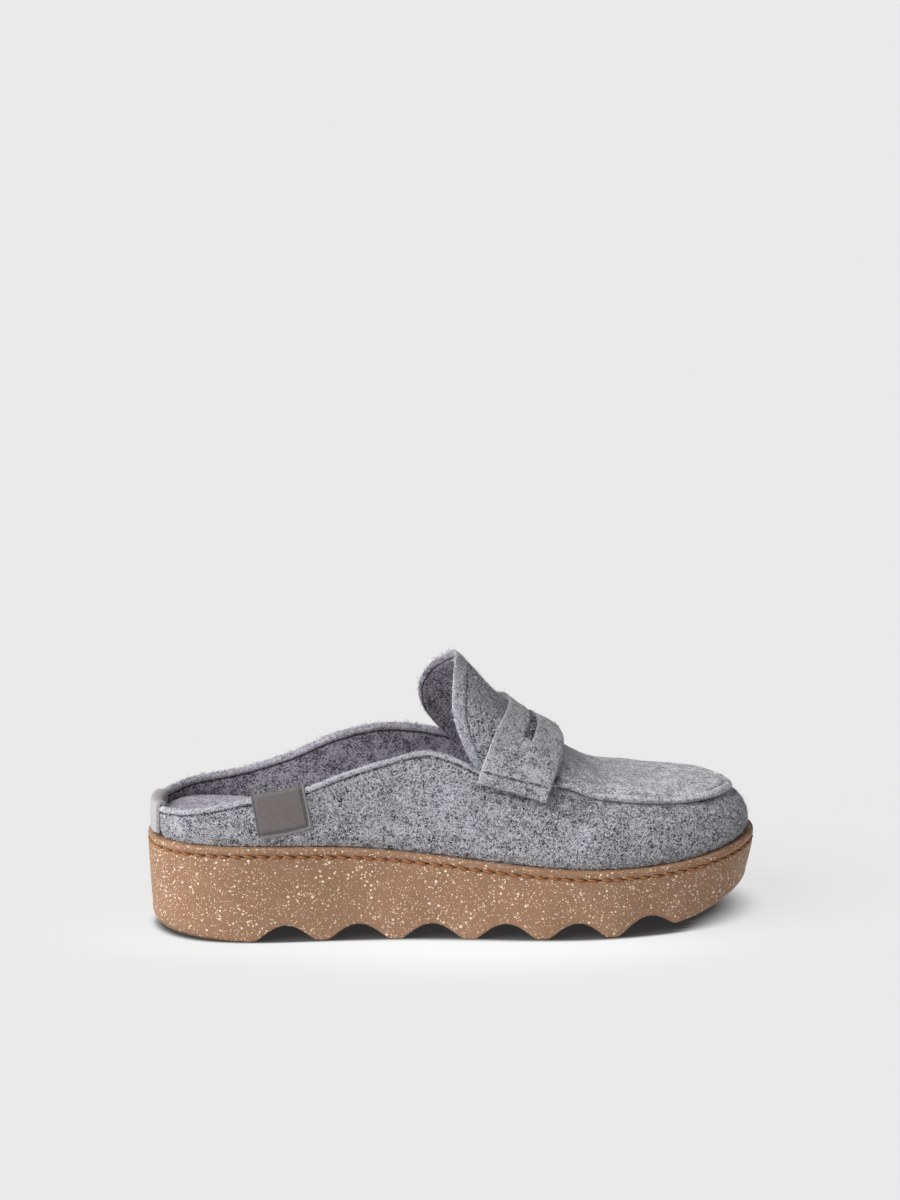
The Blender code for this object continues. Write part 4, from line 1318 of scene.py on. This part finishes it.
def under_trims(points):
    """True where the wall lies under the side label or the heel tab."""
    x, y, z = points[..., 0], points[..., 1], points[..., 2]
    low = topline_height(angle_of(x / SOLE_LENGTH, -1)) - LABEL_HEIGHT - 0.0012
    off = np.abs(x - LABEL_START - LABEL_WIDTH / 2.0)
    label = (y < 0.0) & (off < LABEL_WIDTH / 2.0 + 0.0025) & (z > low)
    tab = (x < 0.030) & (np.abs(y) < HEEL_TAB_WIDTH / 2.0 + 0.0005)
    return label | tab


def make_hairs(name, grid, count, size, seed, material, bare=None, wrap=False):
    """Short hairs on a grid of points: thin bent ribbons that lie half over.

    Each starts at a random point of the grid, chosen by area, leans away from the surface in
    a random direction and narrows to its tip. None starts where bare is true.
    """
    length, width, stand = size
    chance = np.random.default_rng(seed)
    grid = np.asarray(grid) - np.array([CENTRE[0], CENTRE[1], 0.0])
    if wrap:
        grid = np.concatenate([grid, grid[:, :1]], axis=1)
    across = grid[:-1, 1:] - grid[:-1, :-1]
    up = grid[1:, :-1] - grid[:-1, :-1]
    normal = np.cross(across, up)
    area = np.linalg.norm(normal, axis=-1)
    normal = normal / np.maximum(area, 1e-15)[..., None]
    if bare is not None:
        area = area * ~bare(grid[:-1, :-1] + 0.5 * (across + up) + np.array([*CENTRE, 0.0]))
    chosen = chance.choice(area.size, count, p=(area / area.sum()).ravel())
    row, column = np.unravel_index(chosen, area.shape)
    u = chance.uniform(0.0, 1.0, (count, 1))
    v = chance.uniform(0.0, 1.0, (count, 1))
    foot = grid[row, column] + u * across[row, column] + v * up[row, column]
    out = normal[row, column]
    lean = chance.normal(size=(count, 3))
    lean -= (lean * out).sum(axis=1, keepdims=True) * out
    lean /= np.linalg.norm(lean, axis=1, keepdims=True)
    side = np.cross(lean, out)
    long = length * (0.45 + 0.75 * chance.uniform(0.0, 1.0, (count, 1)) ** 2)
    rise = stand * chance.uniform(0.0, 1.0, (count, 1)) ** 2 + 0.06
    curl = 0.35 * chance.normal(size=(count, 1))
    middle = foot + 0.5 * long * (lean + out * rise)
    tip = middle + 0.5 * long * (lean + curl * side + out * rise * chance.uniform(-0.2, 1.0, (count, 1)))
    wide = side + 0.5 * chance.normal(size=(count, 1)) * out
    wide *= 0.5 * width * chance.uniform(0.6, 1.2, (count, 1)) / np.linalg.norm(wide, axis=1, keepdims=True)
    points = np.stack([foot - wide, foot + wide, middle + wide, middle - wide, tip + 0.3 * wide,
                       tip - 0.3 * wide], axis=1)
    start = (np.arange(count) * 6)[:, None]
    faces = np.stack([start + np.array([[0, 1, 2, 3]]), start + np.array([[3, 2, 4, 5]])], axis=1)
    piece = mesh_piece(name, points, faces, material, centred=False)


# Stage

def make_stage():
    """Even pale floor that runs past the frame, a sky of the same tone and one soft sun.

    The floor is rings that follow the sole's outline. Its glow is painted light: it starts a little inside
    that line and fills the shoe's cast shadow, so that the shadow stays light but the contact line dark,
    and its halo paints a pool of light in front of the sole.
    """
    angles = round_angles(FLOOR_COLUMNS)
    rim_line = rim(angles) - CENTRE
    length = np.linalg.norm(rim_line, axis=-1, keepdims=True)
    out = rim_line / length
    steps = np.array(FLOOR_STEPS)
    rings = rim_line[None] + out[None] * steps[:, None, None]
    rings = np.concatenate([rings, np.zeros_like(rings[..., :1])], axis=-1)
    # Painted light: the glow fills the shoe's cast shadow, starting later and more softly at the toe, keeps
    # a least share under the sole, and a halo paints a pool of light in front of the sole.
    at_toe = ease((share_of(angles) - 0.85) / 0.12)[None, :]
    reached = steps[:, None] + GLOW_START + GLOW_START_TOE * at_toe
    glow = np.maximum(ease(reached / (GLOW_SOFT + GLOW_SOFT_TOE * at_toe)), FLOOR_LEAST)
    toward_camera = ease((0.3 - out[:, 1]) / 1.3)[None, :]
    toward_camera = toward_camera * (1.0 - ease((share_of(angles) - 0.70) / 0.30))[None, :]
    halo = FLOOR_HALO * bump_at(steps, HALO_PLACE, HALO_WIDTH)[:, None]
    glow = glow * (1.0 + halo * toward_camera)
    rows, columns, _ = rings.shape
    floor_mesh = bpy.data.meshes.new("floor")
    faces = grid_faces(rows, columns, wrap_columns=True).tolist()
    faces.append(list(range(columns)))
    floor_mesh.from_pydata(rings.reshape(-1, 3).tolist(), [], faces)
    layer = floor_mesh.attributes.new("glow", "FLOAT", "POINT")
    layer.data.foreach_set("value", glow.astype(np.float32).ravel())
    material, tree, shader = shader_of("floor", (FLOOR_TONE, FLOOR_TONE, FLOOR_TONE), 0.9)
    shader.inputs["Specular IOR Level"].default_value = 0.0
    shader.inputs["Emission Color"].default_value = (1.0, 1.0, 1.0, 1.0)
    glowing = worked(tree, "MULTIPLY", marked(tree, "glow"), FLOOR_GLOW)
    tree.links.new(glowing, shader.inputs["Emission Strength"])
    floor_mesh.materials.append(material)
    floor = bpy.data.objects.new("floor", floor_mesh)
    bpy.context.scene.collection.objects.link(floor)
    world = bpy.data.worlds.new("sky")
    world.use_nodes = True
    sky = world.node_tree.nodes["Background"]
    sky.inputs["Color"].default_value = (1.0, 1.0, 1.0, 1.0)
    way = node(world.node_tree, "ShaderNodeSeparateXYZ")
    toward = node(world.node_tree, "ShaderNodeTexCoord").outputs["Generated"]
    world.node_tree.links.new(toward, way.inputs["Vector"])
    strength = ranged(world.node_tree, way.outputs["X"], -1.0, 1.0, SKY_BACK, SKY_FRONT)
    world.node_tree.links.new(strength, sky.inputs["Strength"])
    bpy.context.scene.world = world
    lamp = bpy.data.lights.new("sun", "SUN")
    lamp.energy = SUN_ENERGY
    lamp.angle = math.radians(SUN_SPREAD)
    sun = bpy.data.objects.new("sun", lamp)
    sun.rotation_euler = Vector(SUN_TOWARD).normalized().to_track_quat("Z", "Y").to_euler()
    bpy.context.scene.collection.objects.link(sun)


def make_camera():
    """Camera of the photo: a long lens, a little behind the side and above it."""
    azimuth = math.radians(CAMERA_AZIMUTH)
    elevation = math.radians(CAMERA_ELEVATION)
    data = bpy.data.cameras.new("camera")
    data.sensor_fit = "VERTICAL"
    data.sensor_height = CAMERA_FILM
    data.sensor_width = CAMERA_FILM
    data.lens = CAMERA_LENS
    data.clip_start = 0.05
    data.clip_end = 200.0
    camera = bpy.data.objects.new("camera", data)
    camera.location = CAMERA_PLACE
    back = Vector((
        math.sin(azimuth) * math.cos(elevation),
        -math.cos(azimuth) * math.cos(elevation),
        math.sin(elevation),
    ))
    camera.rotation_euler = (-back).to_track_quat("-Z", "Y").to_euler()
    bpy.context.scene.collection.objects.link(camera)
    bpy.context.scene.camera = camera
    bpy.context.scene.view_settings.view_transform = "Standard"
    bpy.context.scene.view_settings.look = "None"


make_outsole()
make_welt()
make_welt_thread()
make_insole()
grids = {
    "wall": make_upper(),
    "apron": make_apron(),
    "tongue": make_tongue(),
    "strap": make_strap(),
}
make_heel_tab()
make_label()
for place, (name, count) in enumerate(HAIRS):
    around = name == "wall"
    bare = under_trims if around else None
    make_hairs(name + "_pale_hairs", grids[name], count, PALE_HAIR_SIZE, 41 + place, PALE_HAIR, bare,
               around)
    make_hairs(name + "_dark_hairs", grids[name], count // 2, DARK_HAIR_SIZE, 61 + place, DARK_HAIR, bare,
               around)
make_stage()
make_camera()
